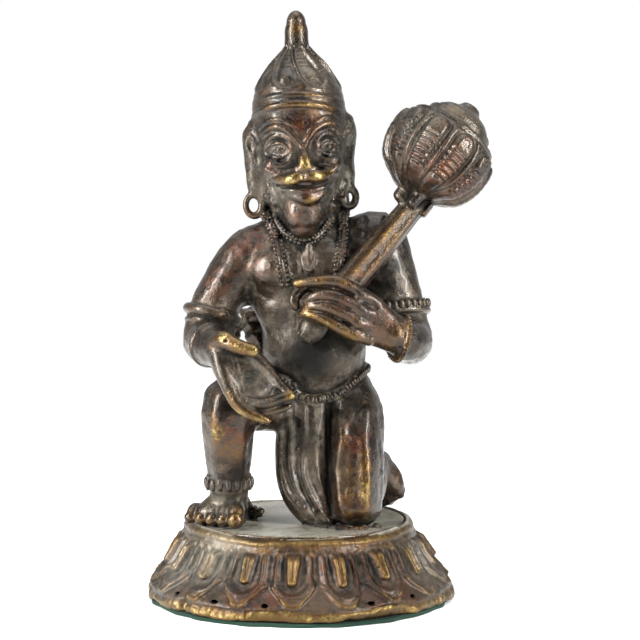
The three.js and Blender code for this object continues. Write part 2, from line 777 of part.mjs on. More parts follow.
function feltPad() {
  const radius = PLINTH_RADIUS - FELT_INSET;
  const pad = new THREE.CylinderGeometry(radius, radius, FELT_THICKNESS, 48);
  pad.rotateX(Math.PI / 2);
  pad.translate(0, 0, FELT_THICKNESS / 2);
  return solid(pad);
}

const bronze = new THREE.MeshStandardMaterial({ color: 0x4e443a, roughness: 0.38, metalness: 0.85 });
const wornBronze = new THREE.MeshStandardMaterial({ color: 0x5c4c3a, roughness: 0.42, metalness: 0.85 });
const felt = new THREE.MeshStandardMaterial({ color: 0x1f5c48, roughness: 0.95, metalness: 0 });

const part = new THREE.Group();
part.add(meshOf("figure", figure(), bronze));
part.add(meshOf("lotus_plinth", lotusPlinth(), wornBronze));
part.add(meshOf("felt_pad", feltPad(), felt));

export default part;
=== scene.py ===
"""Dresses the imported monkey-faced figure: a lost-wax casting on a lotus plinth, with felt glued underneath.

The figure is sculpted as a volume of distances. Limbs, lumps and cuts run into one another as soft wax
does, and the surface is then drawn round them. Sculpted lengths are in drawn millimetres above the ground
plate, as in the part's source, and become metres when the mesh is made. The figure faces -Y, and its own
right side is at -X.
"""
import math
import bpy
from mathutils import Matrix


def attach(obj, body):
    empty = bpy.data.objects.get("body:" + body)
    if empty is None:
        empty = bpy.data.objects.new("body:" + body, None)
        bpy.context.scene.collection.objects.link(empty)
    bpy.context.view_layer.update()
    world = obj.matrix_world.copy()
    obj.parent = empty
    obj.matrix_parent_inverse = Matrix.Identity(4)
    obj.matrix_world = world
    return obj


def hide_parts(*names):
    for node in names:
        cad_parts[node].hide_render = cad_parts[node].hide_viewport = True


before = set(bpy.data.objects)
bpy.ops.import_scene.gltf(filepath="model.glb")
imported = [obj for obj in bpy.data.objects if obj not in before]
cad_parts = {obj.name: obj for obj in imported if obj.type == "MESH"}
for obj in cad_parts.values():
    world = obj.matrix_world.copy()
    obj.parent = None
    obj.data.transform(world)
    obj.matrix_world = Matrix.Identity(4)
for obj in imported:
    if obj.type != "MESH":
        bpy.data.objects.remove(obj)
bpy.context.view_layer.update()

from concurrent.futures import ThreadPoolExecutor

import bmesh
import bpy
import numpy as np
import openvdb
from mathutils import Euler, Vector

MM = 0.001

# The part's driving sizes, in millimetres
FIGURE_HEIGHT = 166.6
PLINTH_RADIUS = 51
DECK_RADIUS = 37
DECK_HEIGHT = 25.4
PLINTH_WALL = 2.6
RIM_HEIGHT = 3.6
LIP_HEIGHT = 3.2
LIP_STEP = 0.3
PETAL_COUNT = 18
PETAL_RELIEF = 1.8
FIRST_PETAL = math.radians(-93)
SLOT_WIDTH = 3.2
SLOT_HEIGHT = 1.3
LIP_WIDTH = 2.4
PLATE_RADIUS = DECK_RADIUS - LIP_WIDTH
PLATE_THICKNESS = 2
SEAT_WIDTH = 3
CLEARANCE = 0.3
FELT_THICKNESS = 1.2
FELT_INSET = 0.5

DRAWN_HEIGHT = 169.64  # the crown's tip in the drawn stations
SCALE = FIGURE_HEIGHT / DRAWN_HEIGHT
PLATE_DRAWN = PLATE_RADIUS / SCALE

X_AXIS = (1, 0, 0)
Y_AXIS = (0, 1, 0)
Z_AXIS = (0, 0, 1)

# Sculpting

FAR = 4.0  # past this many millimetres a distance no longer matters
PITCH = 0.42  # millimetres between the volume's samples
FIGURE_TRIANGLES = 152_000  # the strung ornaments add about 43,000, which keeps the figure under 200,000
RELIEF_ROOM = 1.2  # how far in millimetres a relief may stand proud of its limb
TINY = 1e-6  # keeps a division from meeting nought


class Shape:
    """A form to add to the wax or cut from it: its box, its distance function and how softly it joins."""

    def __init__(self, low, high, distance, blend, cut):
        MARGIN = 1
        self.low = np.asarray(low, float) - blend - MARGIN
        self.high = np.asarray(high, float) + blend + MARGIN
        self.distance = distance
        self.blend = blend
        self.cut = cut


def unit(vector):
    vector = np.asarray(vector, float)
    return vector / np.linalg.norm(vector, axis=-1, keepdims=True)


def smooth_step(low, high, value):
    t = np.clip((value - low) / (high - low), 0, 1)
    return t * t * (3 - 2 * t)


def swell(value, width):
    """A smooth hump: one where the value is nought, and nearly gone at twice the width."""
    return np.exp(-((value / width) ** 2))


def turns(count, first=0):
    """Angles evenly round a full turn."""
    return [2 * math.pi * (i + first) / count for i in range(count)]


def square_to(axis):
    """Two directions square to an axis and to each other, the first also square to the view."""
    side = unit(np.cross(axis, Y_AXIS))
    return side, np.cross(side, axis)


def between_samples(volume, place):
    """A volume's values at places counted in samples, each blended between the eight samples around it."""
    base = np.clip(np.floor(place).astype(int), 0, np.array(volume.shape) - 2)
    f = np.clip(place - base, 0, 1)
    total = 0
    for corner in np.ndindex(2, 2, 2):
        share = np.prod(np.where(np.array(corner) == 1, f, 1 - f), axis=1)
        total = total + share * volume[tuple((base + corner).T)]
    return total


def spline(rows, steps, closed=False):
    """Uniform Catmull-Rom through rows of numbers."""
    rows = np.asarray(rows, float)
    if closed:
        a, b, c, d = (np.roll(rows, k, axis=0) for k in (1, 0, -1, -2))
    else:
        padded = np.vstack([2 * rows[0] - rows[1], rows, 2 * rows[-1] - rows[-2]])
        a, b, c, d = padded[:-3], padded[1:-2], padded[2:-1], padded[3:]
    f = np.linspace(0, 1, steps, endpoint=False)[:, None, None]
    smooth = 0.5 * (
        2 * b + (c - a) * f + (2 * a - 5 * b + 4 * c - d) * f**2 + (3 * b - a - 3 * c + d) * f**3
    )
    points = smooth.transpose(1, 0, 2).reshape(-1, rows.shape[1])
    return np.vstack([points, rows[:1] if closed else rows[-1:]])


def five_columns(rows):
    return [list(row) if len(row) == 5 else [*row, row[3]] for row in rows]


def carried(tangent, across):
    """The width direction along a path: `across`, or one carried along if the path runs too close to it."""
    NEARLY_ALONG = 0.93  # cosine of the angle between the path and `across`
    lean = tangent @ across / np.linalg.norm(across)
    if np.abs(lean).max() < NEARLY_ALONG:
        return unit(across - (tangent @ across)[:, None] * tangent)
    start = np.eye(3)[np.argmin(np.abs(tangent[0]))]
    width = [unit(start - tangent[0] @ start * tangent[0])]
    for ahead in tangent[1:]:
        width.append(unit(width[-1] - ahead @ width[-1] * ahead))
    return np.array(width)


def limb(rows, blend=1.5, cut=False, across=X_AXIS, steps=4, dome=0.75, relief=None, closed=False):
    """A rounded limb through stations [x, y, z, half width, half depth], the width measured along `across`.

    relief(angle, along, share) is how far the surface stands proud: angle round the section, millimetres
    along the limb, and share of its length."""
    path = spline(five_columns(rows), steps, closed)
    centre = path[:, :3]
    ahead = np.vstack([centre[1:], centre[1:2] if closed else centre[-1:]])
    behind = np.vstack([centre[-2:-1] if closed else centre[:1], centre[:-1]])
    tangent = unit(ahead - behind)
    width = carried(tangent, np.asarray(across, float))
    depth = np.cross(tangent, width)
    steps_long = np.linalg.norm(np.diff(centre, axis=0), axis=1)
    along = np.concatenate([[0], np.cumsum(steps_long)])
    table = np.hstack([centre, tangent, width, depth, path[:, 3:5], along[:, None]]).astype(np.float32)
    reach = path[:, 3:5].max() + RELIEF_ROOM
    total = float(along[-1])

    def distance(x, y, z):
        best = np.full((len(x), len(y), len(z)), np.inf, np.float32)
        place = np.zeros_like(best)
        for i in range(len(centre) - 1):
            start = centre[i]
            step = centre[i + 1] - start
            long = float(step @ step)
            dx, dy, dz = x - start[0], y - start[1], z - start[2]
            dot = (dx * step[0])[:, None, None] + ((dy * step[1])[:, None] + (dz * step[2])[None, :])[None]
            square = (dx * dx)[:, None, None] + ((dy * dy)[:, None] + (dz * dz)[None, :])[None]
            t = np.clip(dot / long, 0, 1)
            square += t * (t * long - 2 * dot)
            closer = square < best
            best = np.where(closer, square, best)
            place = np.where(closer, i + t, place)
        result = np.sqrt(np.maximum(best, 0)) - (reach - RELIEF_ROOM)
        near = np.nonzero(result < FAR)
        where = place[near]
        i = np.minimum(where.astype(int), len(centre) - 2)
        f = (where - i)[:, None]
        row = table[i] * (1 - f) + table[i + 1] * f
        offset = np.stack([x[near[0]], y[near[1]], z[near[2]]], 1) - row[:, :3]
        wide, deep = row[:, 12], row[:, 13]
        end = np.minimum(wide, deep) * dome
        past = (offset * row[:, 3:6]).sum(1)
        at_end = (where <= 0) | (where >= len(centre) - 1.0001)
        past = np.where(at_end, past, 0) if not closed else 0 * past
        u = (offset * row[:, 6:9]).sum(1)
        v = (offset * row[:, 9:12]).sum(1)
        k0 = np.sqrt((u / wide) ** 2 + (v / deep) ** 2 + (past / end) ** 2)
        k1 = np.sqrt((u / wide**2) ** 2 + (v / deep**2) ** 2 + (past / end**2) ** 2) + TINY
        made = k0 * (k0 - 1) / k1
        if relief is not None:
            made = made - relief(np.arctan2(v, u), row[:, 14], row[:, 14] / total)
        result[near] = made
        return result

    low = centre.min(0) - reach
    high = centre.max(0) + reach
    return Shape(low, high, distance, blend, cut)


def lump(centre, radii, turn=(0, 0, 0), blend=2.0, cut=False):
    """An ellipsoid, turned by Euler angles in degrees."""
    turned = np.array(Euler([math.radians(a) for a in turn]).to_matrix())
    radii = np.asarray(radii, float)

    def distance(x, y, z):
        dx, dy, dz = x - centre[0], y - centre[1], z - centre[2]
        k0 = 0
        k1 = TINY
        for axis in range(3):
            side = (dx * turned[0, axis])[:, None, None] + (dy * turned[1, axis])[None, :, None]
            side = (side + (dz * turned[2, axis])[None, None, :]).astype(np.float32)
            k0 = k0 + (side / radii[axis]) ** 2
            k1 = k1 + (side / radii[axis] ** 2) ** 2
        k0 = np.sqrt(k0)
        return (k0 * (k0 - 1) / np.sqrt(k1)).astype(np.float32)

    reach = np.abs(turned) @ radii
    return Shape(np.array(centre) - reach, np.array(centre) + reach, distance, blend, cut)


def disc(radius, low, high):
    """An upright round plate about the plinth's axis, with a softened edge."""
    BLEND = 0.4
    EDGE = 0.5

    def distance(x, y, z):
        out = np.sqrt((x * x)[:, None] + (y * y)[None, :])[:, :, None] - (radius - EDGE)
        up = (np.abs(z - (low + high) / 2) - ((high - low) / 2 - EDGE))[None, None, :]
        corner = np.sqrt(np.maximum(out, 0) ** 2 + np.maximum(up, 0) ** 2)
        return (corner + np.minimum(np.maximum(out, up), 0) - EDGE).astype(np.float32)

    return Shape((-radius, -radius, low), (radius, radius, high), distance, BLEND, False)


def ring_rows(centre, axis, across, wide, deep, thick, count=14):
    """Stations round a closed ring about `axis`."""
    axis = unit(axis)
    side = unit(np.asarray(across, float) - np.dot(across, axis) * axis)
    other = np.cross(axis, side)
    rows = []
    for angle in turns(count):
        place = np.asarray(centre) + wide * math.cos(angle) * side + deep * math.sin(angle) * other
        rows.append([*place, thick])
    return rows


class Wax:
    """A block of wax as distances to its surface, in drawn millimetres."""

    def __init__(self, low, high, pitch):
        self.low = np.array(low, float)
        self.pitch = pitch
        self.axes = [np.arange(a, b, pitch, dtype=np.float32) for a, b in zip(low, high)]
        self.field = np.full([len(axis) for axis in self.axes], FAR, np.float32)

    def window(self, shape):
        spans = []
        for axis, low, high in zip(self.axes, shape.low, shape.high):
            spans.append(slice(*np.searchsorted(axis, (low, high))))
        return tuple(spans)

    def measured(self, shape):
        window = self.window(shape)
        return window, shape.distance(*(axis[span] for axis, span in zip(self.axes, window)))

    def work(self, shapes):
        """Adds and cuts the shapes in turn, each blended over its own width."""
        WORKERS = 4
        with ThreadPoolExecutor(WORKERS) as pool:
            for shape, (window, made) in zip(shapes, pool.map(self.measured, shapes)):
                sign = -1 if shape.cut else 1
                held = self.field[window] * sign
                mix = np.clip(0.5 + 0.5 * (held - made) / shape.blend, 0, 1)
                joined = held + (made - held) * mix - shape.blend * mix * (1 - mix)
                self.field[window] = joined * sign

    def roughen(self, depth, wave):
        """Leaves the uneven skin of hand-worked wax. The odd factors keep its waves from lining up."""
        x, y, z = (axis * (2 * math.pi / wave) for axis in self.axes)
        ripple_x = np.sin(x + 1.3 * np.sin(0.41 * x))[:, None, None]
        ripple_y = np.sin(1.1 * y + 0.6 + np.sin(0.53 * y))[None, :, None]
        ripple_z = np.sin(0.9 * z + 1.9 + 1.2 * np.sin(0.37 * z))[None, None, :]
        ripples = ripple_x * ripple_y + ripple_y * ripple_z + ripple_z * ripple_x
        self.field += (depth * ripples).astype(np.float32)

    def sample(self, points):
        """Distances at points."""
        return between_samples(self.field, (np.asarray(points, float) - self.low) / self.pitch)

    def slope(self, points):
        """The way out of the surface at points."""
        step = 1.5 * self.pitch
        columns = []
        for axis in range(3):
            shift = np.zeros(3)
            shift[axis] = step
            columns.append(self.sample(points + shift) - self.sample(points - shift))
        return unit(np.stack(columns, 1) + 1e-9)

    def settled(self, points, lift=0.0, level=False):
        """Moves points onto the surface, or `lift` outside it. Level points keep their height."""
        ROUNDS = 16
        CAUTION = 0.75  # the share of the measured distance moved in each round
        points = np.array(points, float)
        for _ in range(ROUNDS):
            slope = self.slope(points)
            if level:
                slope[:, 2] = 0
                slope = unit(slope + 1e-9)
            points -= CAUTION * slope * (self.sample(points) - lift)[:, None]
        return points

    def on_front(self, rows, lift=0.0):
        """Turns [x, z, ...] rows into [x, y, z, ...] rows that lie on the front of the wax."""
        placed = []
        for x, z, *rest in rows:
            y = self.axes[1]
            column = self.sample(np.stack([np.full(len(y), x), y, np.full(len(y), z)], 1))
            first = int(np.argmax(column < 0))
            above, below = column[first - 1], column[first]
            front = y[first - 1] + self.pitch * above / (above - below)
            placed.append([x, float(front) - lift, z, *rest])
        return placed

    def laid(self, rows, lift, **options):
        """A limb through [x, z, half width] rows that lie on the front of the wax."""
        return limb(self.on_front(rows, lift), **options)


# The figure's forms

MACE_FOOT = np.array([3.6, -19.4, 65])
MACE_NECK = np.array([38.1, -9, 106.1])
MACE_HEART = np.array([45.6, -7, 122.2])
MACE_HANDLE = unit(MACE_NECK - MACE_FOOT)
MACE_AXIS = unit([0.58, 0.2, 0.79])
MACE_RADIUS = 17.9
KNOB = [(15, 5.8), (17.2, 4.4), (18.7, 3.4)]  # millimetres up from the heart, radius
RIDGE_TURN = -1.9  # where the handle's ridge stands round its section

RIGHT_SHOULDER = [
    [-8, 3, 92.6, 7.6], [-15.6, 1.5, 89, 9.3], [-21.4, 0.6, 82.6, 9.2], [-24.6, 0, 77.6, 8.4, 9]
]
RIGHT_ARM = [
    [-19, 0.8, 85.6, 7.8, 8.4], [-24, 0, 79, 8.2, 9], [-28.4, -0.8, 71.6, 8.1, 9], [-30, -2, 64, 8.5, 8.8],
    [-30.8, -4, 60, 8],
]
RIGHT_FOREARM = [
    [-30.4, -5, 60.6, 7.6], [-29.8, -12, 60.4, 7.2], [-28.8, -18, 59.8, 6.7], [-27.2, -22.6, 59.2, 6],
    [-25.6, -26, 58.6, 5.2],
]
LEFT_ARM = [
    [10, 3, 93, 8], [18, 2, 93, 8.4], [25.8, 1, 93.6, 9.2], [29, 0.2, 84.6, 9.1], [32, -0.8, 75.6, 8.5],
    [34, -2, 67.4, 8.4], [35.2, -4.4, 61.6, 8],
]
LEFT_FOREARM = [
    [35.8, -4, 60.8, 7.8], [36.2, -11, 60.4, 7.4], [35.6, -16.6, 61, 6.8], [33.6, -20.8, 62, 6.2],
    [30, -23.2, 64, 5.6],
]
TAIL = [
    [6, 12, 32, 5], [-3, 18, 35, 4.6], [-10, 19, 44, 4.2], [-13, 16.5, 53, 4.1], [-14.6, 15, 60, 4],
    [-16.8, 17.5, 66, 3.7], [-20.8, 20.5, 65.6, 3.2], [-24, 22, 60, 3], [-24.8, 22.4, 52, 3],
    [-25.4, 21.6, 41, 3], [-26.4, 17, 28, 2.8], [-26.6, 11.5, 14, 2.6], [-23.5, 6.5, 5.4, 2.5],
    [-18, 1, 2.6, 2.1], [-14.2, -4.5, 2.4, 1.7], [-13.6, -7.8, 3.4, 1.1],
]


def torso():
    return [
        limb([
            [6, 4, 28, 11, 8], [6.4, 3, 38, 17, 11.5], [4.8, 1.5, 47, 16.8, 12.6],
            [4.7, 0, 56, 17.2, 12.2], [4.7, -0.5, 66, 17.6, 12.8], [2.9, 0, 78, 20.4, 12.6],
            [1.2, 1, 88, 21.4, 11.6], [1.2, 2, 95, 17, 10.5], [1.4, 2, 102, 12, 9], [1.6, 1, 109, 10, 8.5],
        ], blend=3),
        lump((5.2, -4.4, 56.4), (13.4, 11.8, 11.4), blend=5),
        lump((-7, -8.2, 84.5), (8.5, 5.2, 6.5), blend=5),
        lump((10, -8.2, 85), (8.5, 5.2, 6.5), blend=5),
        lump((-8, 9.6, 84), (7, 4, 9), blend=5),
        lump((11, 9.6, 84), (7, 4, 9), blend=5),
        limb([[1.6, 15, 92, 1.6], [3, 15.2, 76, 2], [4.6, 14.6, 60, 1.8]], blend=4, cut=True),
        lump((1, 7.4, 33), (10.6, 9.6, 11), blend=3),
        lump((13, 7.4, 33), (10.2, 9.6, 11), blend=3),
        lump((-17.6, 3, 76.6), (3.4, 7, 4.4), blend=2),
    ]


def arms():
    return [
        limb(RIGHT_SHOULDER, blend=3),
        limb(RIGHT_ARM, blend=0.9),
        limb(RIGHT_FOREARM, blend=2),
        lump((-31.4, -3.4, 60), (6.8, 7.4, 7.2), blend=2),
        limb(LEFT_ARM, blend=3),
        limb(LEFT_FOREARM, blend=2),
        lump((36.2, -3.2, 60.4), (7.2, 7, 7.4), blend=2),
    ]


def right_hand():
    """The open hand is cupped over the knee: a scoop with an upturned front edge, the thumb on top."""
    palm_across = (0.7, 0.1, 0.72)
    return [
        limb([
            [-25.6, -26.5, 59.4, 4.6, 4.2], [-22.6, -28.8, 56, 6.6, 3.9], [-18, -30.6, 51.6, 7.9, 3.3],
            [-13.4, -32.2, 47.8, 7.3, 2.9], [-9.6, -33.8, 45.8, 5.4, 2.3],
        ], blend=1.5, across=palm_across),
        # The outer wall runs on into the little finger
        limb([
            [-26.2, -27.6, 59.8, 3.4], [-25.2, -30.4, 55, 3], [-23.4, -32.2, 50, 2.8],
            [-21.4, -33.6, 45.6, 2.5], [-19.4, -34.9, 42.2, 2.2], [-15.4, -36.2, 39.5, 1.9],
            [-11.4, -36.6, 37.9, 1.5], [-9.9, -36.7, 37.3, 1.1],
        ], blend=0.9),
        # The three long fingers lie together, their tips turned up
        limb([
            [-18.4, -33.6, 44.4, 1.7], [-14, -35.2, 43, 1.9], [-9.4, -36.4, 43.3, 1.9],
            [-5.4, -36.8, 44.7, 1.7], [-2.4, -36.8, 45.5, 1.2],
        ], blend=0.6),
        limb([
            [-2.8, -36.4, 45.6, 1.2], [-5.6, -34.8, 48, 1.6], [-8.8, -33.2, 51.4, 1.9],
            [-12, -31.8, 55, 2.2], [-15.4, -30.6, 58, 2.6],
        ], blend=0.8),
        limb([
            [-16.4, -33.4, 41.2, 1.5], [-11, -34.6, 40, 1.5], [-5.4, -35, 41.2, 1.3], [-3.4, -35, 42, 1]
        ], blend=0.4),
        # Thumb, with its root pressed into the wrist
        limb([
            [-27, -27.4, 61.2, 3.2, 3], [-24, -31, 62.4, 3.1, 2.9], [-20.4, -33.6, 61, 2.6, 2.5],
            [-17, -35, 60, 2.3, 2.2], [-14, -36, 59.3, 2, 1.9],
        ], blend=0.8, dome=0.5),
        lump((-23.4, -34.1, 62.6), (0.5, 0.6, 0.5), blend=0.5, cut=True),
        limb([[-21, -36.4, 60.4, 0.3], [-17.6, -37.4, 60.9, 0.3]], blend=0.4, cut=True),
        # Creases of the palm
        limb([
            [-21, -32.8, 56.6, 0.4], [-19.4, -33.9, 52, 0.5], [-18.4, -34.4, 47.4, 0.4]
        ], blend=0.9, cut=True),
        lump((-13.8, -35.6, 50), (4.4, 1.3, 4.4), turn=(0, 42, 0), blend=2, cut=True),
    ]


def left_hand():
    """The hand closes round the mace, its back to the front."""
    fingers = [
        [
            [25, -24.8, 73.4, 2.3], [17.4, -26.4, 78.6, 2.2], [11, -27.2, 81.2, 2], [4, -26.4, 81, 1.7],
            [-1.2, -24.6, 80.2, 1.5],
        ],
        [
            [24, -26, 69.6, 2.3], [17.2, -27.6, 73.6, 2.3], [10.6, -28.2, 76.6, 2.1],
            [5.4, -27, 76.4, 1.9], [2, -24.6, 74.6, 1.6],
        ],
        [
            [22.6, -26.4, 66, 2.3], [14.6, -28, 70.6, 2.2], [8.6, -27.8, 73, 2], [4, -26, 73, 1.8],
            [1.4, -23.8, 71.6, 1.5],
        ],
        [
            [22.4, -25.8, 62.4, 2.2], [14.4, -27.4, 65.4, 2.1], [8, -27.2, 68.9, 1.9],
            [2.6, -25.4, 70.6, 1.6], [0.4, -23.6, 70.4, 1.3],
        ],
    ]
    shapes = [
        limb([
            [32, -21.6, 63, 4.8, 5.4], [27.4, -23.8, 65.6, 4.2, 6.6], [22.4, -24.6, 68.4, 3.6, 7.4],
            [17, -24.6, 71.4, 2.8, 7.2],
        ], blend=1.5, across=Y_AXIS),
        limb([
            [10, -17, 79, 2.6], [2, -18.4, 79.4, 2.4], [-1.8, -21.6, 75.6, 1.9], [-1.4, -22.4, 72.4, 1.4]
        ], blend=1),
    ]
    shapes += [limb(finger, blend=0.35) for finger in fingers]
    for upper, lower in zip(fingers, fingers[1:]):
        gap = []
        for (ax, ay, az, _), (bx, by, bz, _) in zip(upper[1:4], lower[1:4]):
            gap.append([(ax + bx) / 2, (ay + by) / 2 - 1.4, (az + bz) / 2, 0.35])
        shapes.append(limb(gap, blend=0.5, cut=True))
    # Knuckles and the tendons behind them
    for x, y, z in ((19.6, -27.6, 76.4), (19.8, -28.6, 71.4), (18.4, -28.8, 67.6), (17.8, -28, 63.4)):
        shapes.append(lump((x, y, z), (1.7, 1.1, 1.5), blend=1.2))
    return shapes


def ridged(angle, along, share):
    """Six flats, with the ridge between the two front ones standing up like a seam."""
    flats = 0.55 * (np.abs(np.cos(3 * (angle - RIDGE_TURN))) - 0.64)
    seam = 0.55 * swell((angle - RIDGE_TURN + math.pi) % (2 * math.pi) - math.pi, 0.13)
    return (flats + seam) * smooth_step(5, 9, along)


def on_handle(distance):
    return (MACE_FOOT + MACE_HANDLE * distance).tolist()


def mace():
    shaft = limb([
        [*on_handle(-2), 3.8], [*on_handle(0), 4.5], [*on_handle(3), 4.4], [*on_handle(5.4), 3.9],
        [*on_handle(14), 4.8, 4.4], [*on_handle(26), 5, 4.6], [*on_handle(42), 4.5, 4.3],
        [*on_handle(52), 4.1, 4], [*on_handle(62), 4],
    ], blend=0.4, across=(0.79, 0, -0.62), dome=0.4, relief=ridged)
    side, up = square_to(MACE_HANDLE)
    rosette = [lump(on_handle(-4), (1, 1, 1), blend=0.3)]
    for turn in turns(6):
        place = np.array(on_handle(-3.4)) + 2.1 * (math.cos(turn) * side + math.sin(turn) * up)
        rosette.append(lump(place.tolist(), (1.15, 1.15, 1.15), blend=0.3))
    knob_rows = [[*(MACE_HEART + MACE_AXIS * up_from_heart), radius] for up_from_heart, radius in KNOB]
    knob = limb(knob_rows, blend=1.2, dome=0.35)
    return [shaft, *rosette, mace_head(), knob, *mace_collar()]


def mace_collar():
    """Small drooping petals where the handle runs into the head."""
    side, up = square_to(MACE_HANDLE)
    petals = []
    for turn in turns(5, -0.1):
        out = math.cos(turn) * side + math.sin(turn) * up
        top = np.array(on_handle(56.5)) + 4.8 * out
        tip = np.array(on_handle(52.6)) + 5 * out
        shown = 0.62 + 0.38 * math.cos(turn)  # they are worn away on the side towards the hand
        petals.append(limb([[*top, 3.3 * shown, 2.6], [*tip, 2.9 * shown, 2.3]], blend=0.8, dome=0.8))
    return petals


def mace_head():
    """A globe of raised, round-topped lobes under a band, two ridges and a flat dome."""
    LOBES = 10
    FIRST_LOBE = 0.42  # turns the lobes so that two of them face the front
    NOTCHED_RIB = 3  # one rib alone is notched across
    TOP = 3.6  # millimetres above the heart where a lobe's round end begins
    FILLED = 0.72  # share of its sector that a lobe fills
    STRIPES = 2.1  # millimetres from groove to groove
    ARCS = 1.1  # millimetres from arc to arc in a lobe's round end
    SUNK = 1.1  # how far the ground of the relief lies inside the globe
    ROOM = 2.5  # how far the relief may stand proud of the globe
    side, front = square_to(MACE_AXIS)

    def relief(latitude, longitude):
        sector = (longitude * LOBES / (2 * math.pi) + FIRST_LOBE) % 1 * 2 - 1
        across = np.abs(sector) * math.pi / LOBES * MACE_RADIUS * np.cos(
            latitude
        )  # millimetres from the middle
        up = latitude * MACE_RADIUS
        half = math.pi / LOBES * MACE_RADIUS * np.cos(np.minimum(latitude, TOP / MACE_RADIUS)) * FILLED
        edge = np.where(up > TOP, np.sqrt(across**2 + (up - TOP) ** 2), across) - half
        low = smooth_step(-17, -10, up)  # the pads die away towards the handle
        pad = (0.5 + 1.4 * low) * smooth_step(0.3, -1.7, edge)
        striped = smooth_step(1.6, 0.4, up) * smooth_step(-13, -10.5, up)
        bowed = up + 0.05 * across**2
        grooves = 0.9 * (0.5 + 0.5 * np.cos(2 * math.pi * bowed / STRIPES)) ** 1.6 * striped
        facing = smooth_step(0.3, 0.75, -np.sin(longitude))  # the grooves are worn away on the far side
        grooves = grooves * smooth_step(0.1, -0.7, edge) * (0.2 + 0.8 * facing)
        arcs = 0.16 * np.cos(
            2 * math.pi * edge / ARCS
        ) * smooth_step(0.6, 2, up) * smooth_step(-0.6, -1, edge)
        rib = 1.1 * smooth_step(0.3, 1.1, edge) * smooth_step(8.4, 6.6, up) * (0.35 + 0.65 * low)
        rib_number = np.floor(longitude * LOBES / (2 * math.pi) + FIRST_LOBE + 0.5) % LOBES
        notched = (rib_number == NOTCHED_RIB) * smooth_step(0.35, 0.8, edge) * striped
        notches = 0.75 * (0.5 + 0.5 * np.cos(2 * math.pi * up / STRIPES)) * notched
        lobes = (pad - grooves + arcs + rib - notches) * smooth_step(9.4, 8.6, up)
        # The band's foot and its groove, the step up to the dome, and the two ridges
        low_ridge = 0.9 * swell(up - 9.4, 0.6) - 0.5 * swell(up - 12.6, 0.7)
        step = -0.6 * smooth_step(9, 10.4, up) + 1.3 * smooth_step(15.5, 20, up)
        high_ridges = 0.8 * swell(up - 14.8, 0.9) + 0.4 * swell(up - 17.4, 0.5)
        return lobes - SUNK + low_ridge + step + high_ridges

    def distance(x, y, z):
        shape = (len(x), len(y), len(z))
        dx = np.broadcast_to((x - MACE_HEART[0])[:, None, None], shape)
        dy = np.broadcast_to((y - MACE_HEART[1])[None, :, None], shape)
        dz = np.broadcast_to((z - MACE_HEART[2])[None, None, :], shape)
        up, out, ahead = (dx * a[0] + dy * a[1] + dz * a[2] for a in (MACE_AXIS, side, front))
        from_axis = np.sqrt(out**2 + ahead**2)
        latitude = np.arctan2(up, from_axis)
        far = np.sqrt(up**2 + from_axis**2) - MACE_RADIUS
        return (far - relief(latitude, np.arctan2(ahead, out))).astype(np.float32)

    reach = MACE_RADIUS + ROOM
    return Shape(MACE_HEART - reach, MACE_HEART + reach, distance, 0.5, False)


def legs():
    def facets(angle, along, share):
        return 0.3 * np.cos(6 * angle + 0.4)

    return [
        limb([
            [2, 2, 38, 10, 9], [-8, -6, 39.6, 9.8, 9.4], [-17, -14, 40.8, 9.4, 9.4],
            [-22.6, -18.6, 41.4, 8.6, 8.6],
        ], blend=3),
        limb([
            [-23, -19, 42.6, 8, 8.2], [-23.3, -19.6, 37, 8.6, 8.8], [-23.4, -19, 30, 8, 8.4],
            [-23.4, -16.4, 22, 7.2, 7.8], [-23.4, -14.2, 16, 6.6, 6.8], [-23.4, -13, 10, 6, 6.4],
            [-23.4, -11.5, 3, 5.8, 6],
        ], blend=2.5, relief=facets),
        limb([
            [14, 3, 43, 10, 10.5], [17.6, -3, 36, 10, 10.6], [18.4, -8.5, 26, 9.3, 9.9],
            [18.4, -11.6, 15, 9, 9.3], [18.2, -13.2, 5.5, 8.4, 8.8],
        ], blend=2, dome=0.7, relief=facets),
        limb([
            [18.6, -9, 6.5, 7, 6], [21.4, 1, 10.5, 7.6, 8.8], [23.6, 10, 13, 6.6, 8.4],
            [26.4, 16.6, 14.5, 5, 7], [28, 19.4, 14, 4.4, 6],
        ], blend=1.5),
        limb([
            [27.4, 18.6, 15.6, 4, 4.6], [30.6, 20, 11, 4.6, 5], [33.6, 20.6, 7.4, 3.4, 4.2],
            [35.2, 21, 5.8, 2, 2.8],
        ], blend=1.5),
        limb([[29.6, 20.4, 8.6, 4, 4], [30.2, 21, 4.6, 3.8, 3.4], [29.8, 21.4, 2.4, 3.2, 2.6]], blend=1.5),
    ]


def thigh_creases(wax):
    """Two blunt ridges down the front of the kneeling thigh, which catch the light as streaks."""
    right = [[21.8, 37.6, 1.3], [20.9, 30, 1.7], [21.3, 22, 1.8], [21.4, 15, 1.7], [20.9, 6.4, 1.2]]
    left = [[13.4, 36, 1], [14.2, 29, 1.1], [12.8, 20.8, 1.2], [13, 14, 1.1], [13.5, 8.2, 0.8]]
    return [wax.laid(right, -0.7, blend=2.6), wax.laid(left, -0.5, blend=2.2)]


def anklet():
    return [
        limb([
            [-23.4, -14.2, 17.2, 6.4, 6.6], [-23.4, -14.1, 16, 7, 7.2], [-23.4, -13.8, 14.4, 7.4, 7.6],
            [-23.4, -13.4, 12.6, 7, 7.2],
        ], blend=0.6, dome=0.25),
        limb(ring_rows(
            (-23.4, -14.1, 16.6), Z_AXIS, X_AXIS, 6.9, 7.1, 0.7
        ), blend=0.4, closed=True, steps=3),
    ]


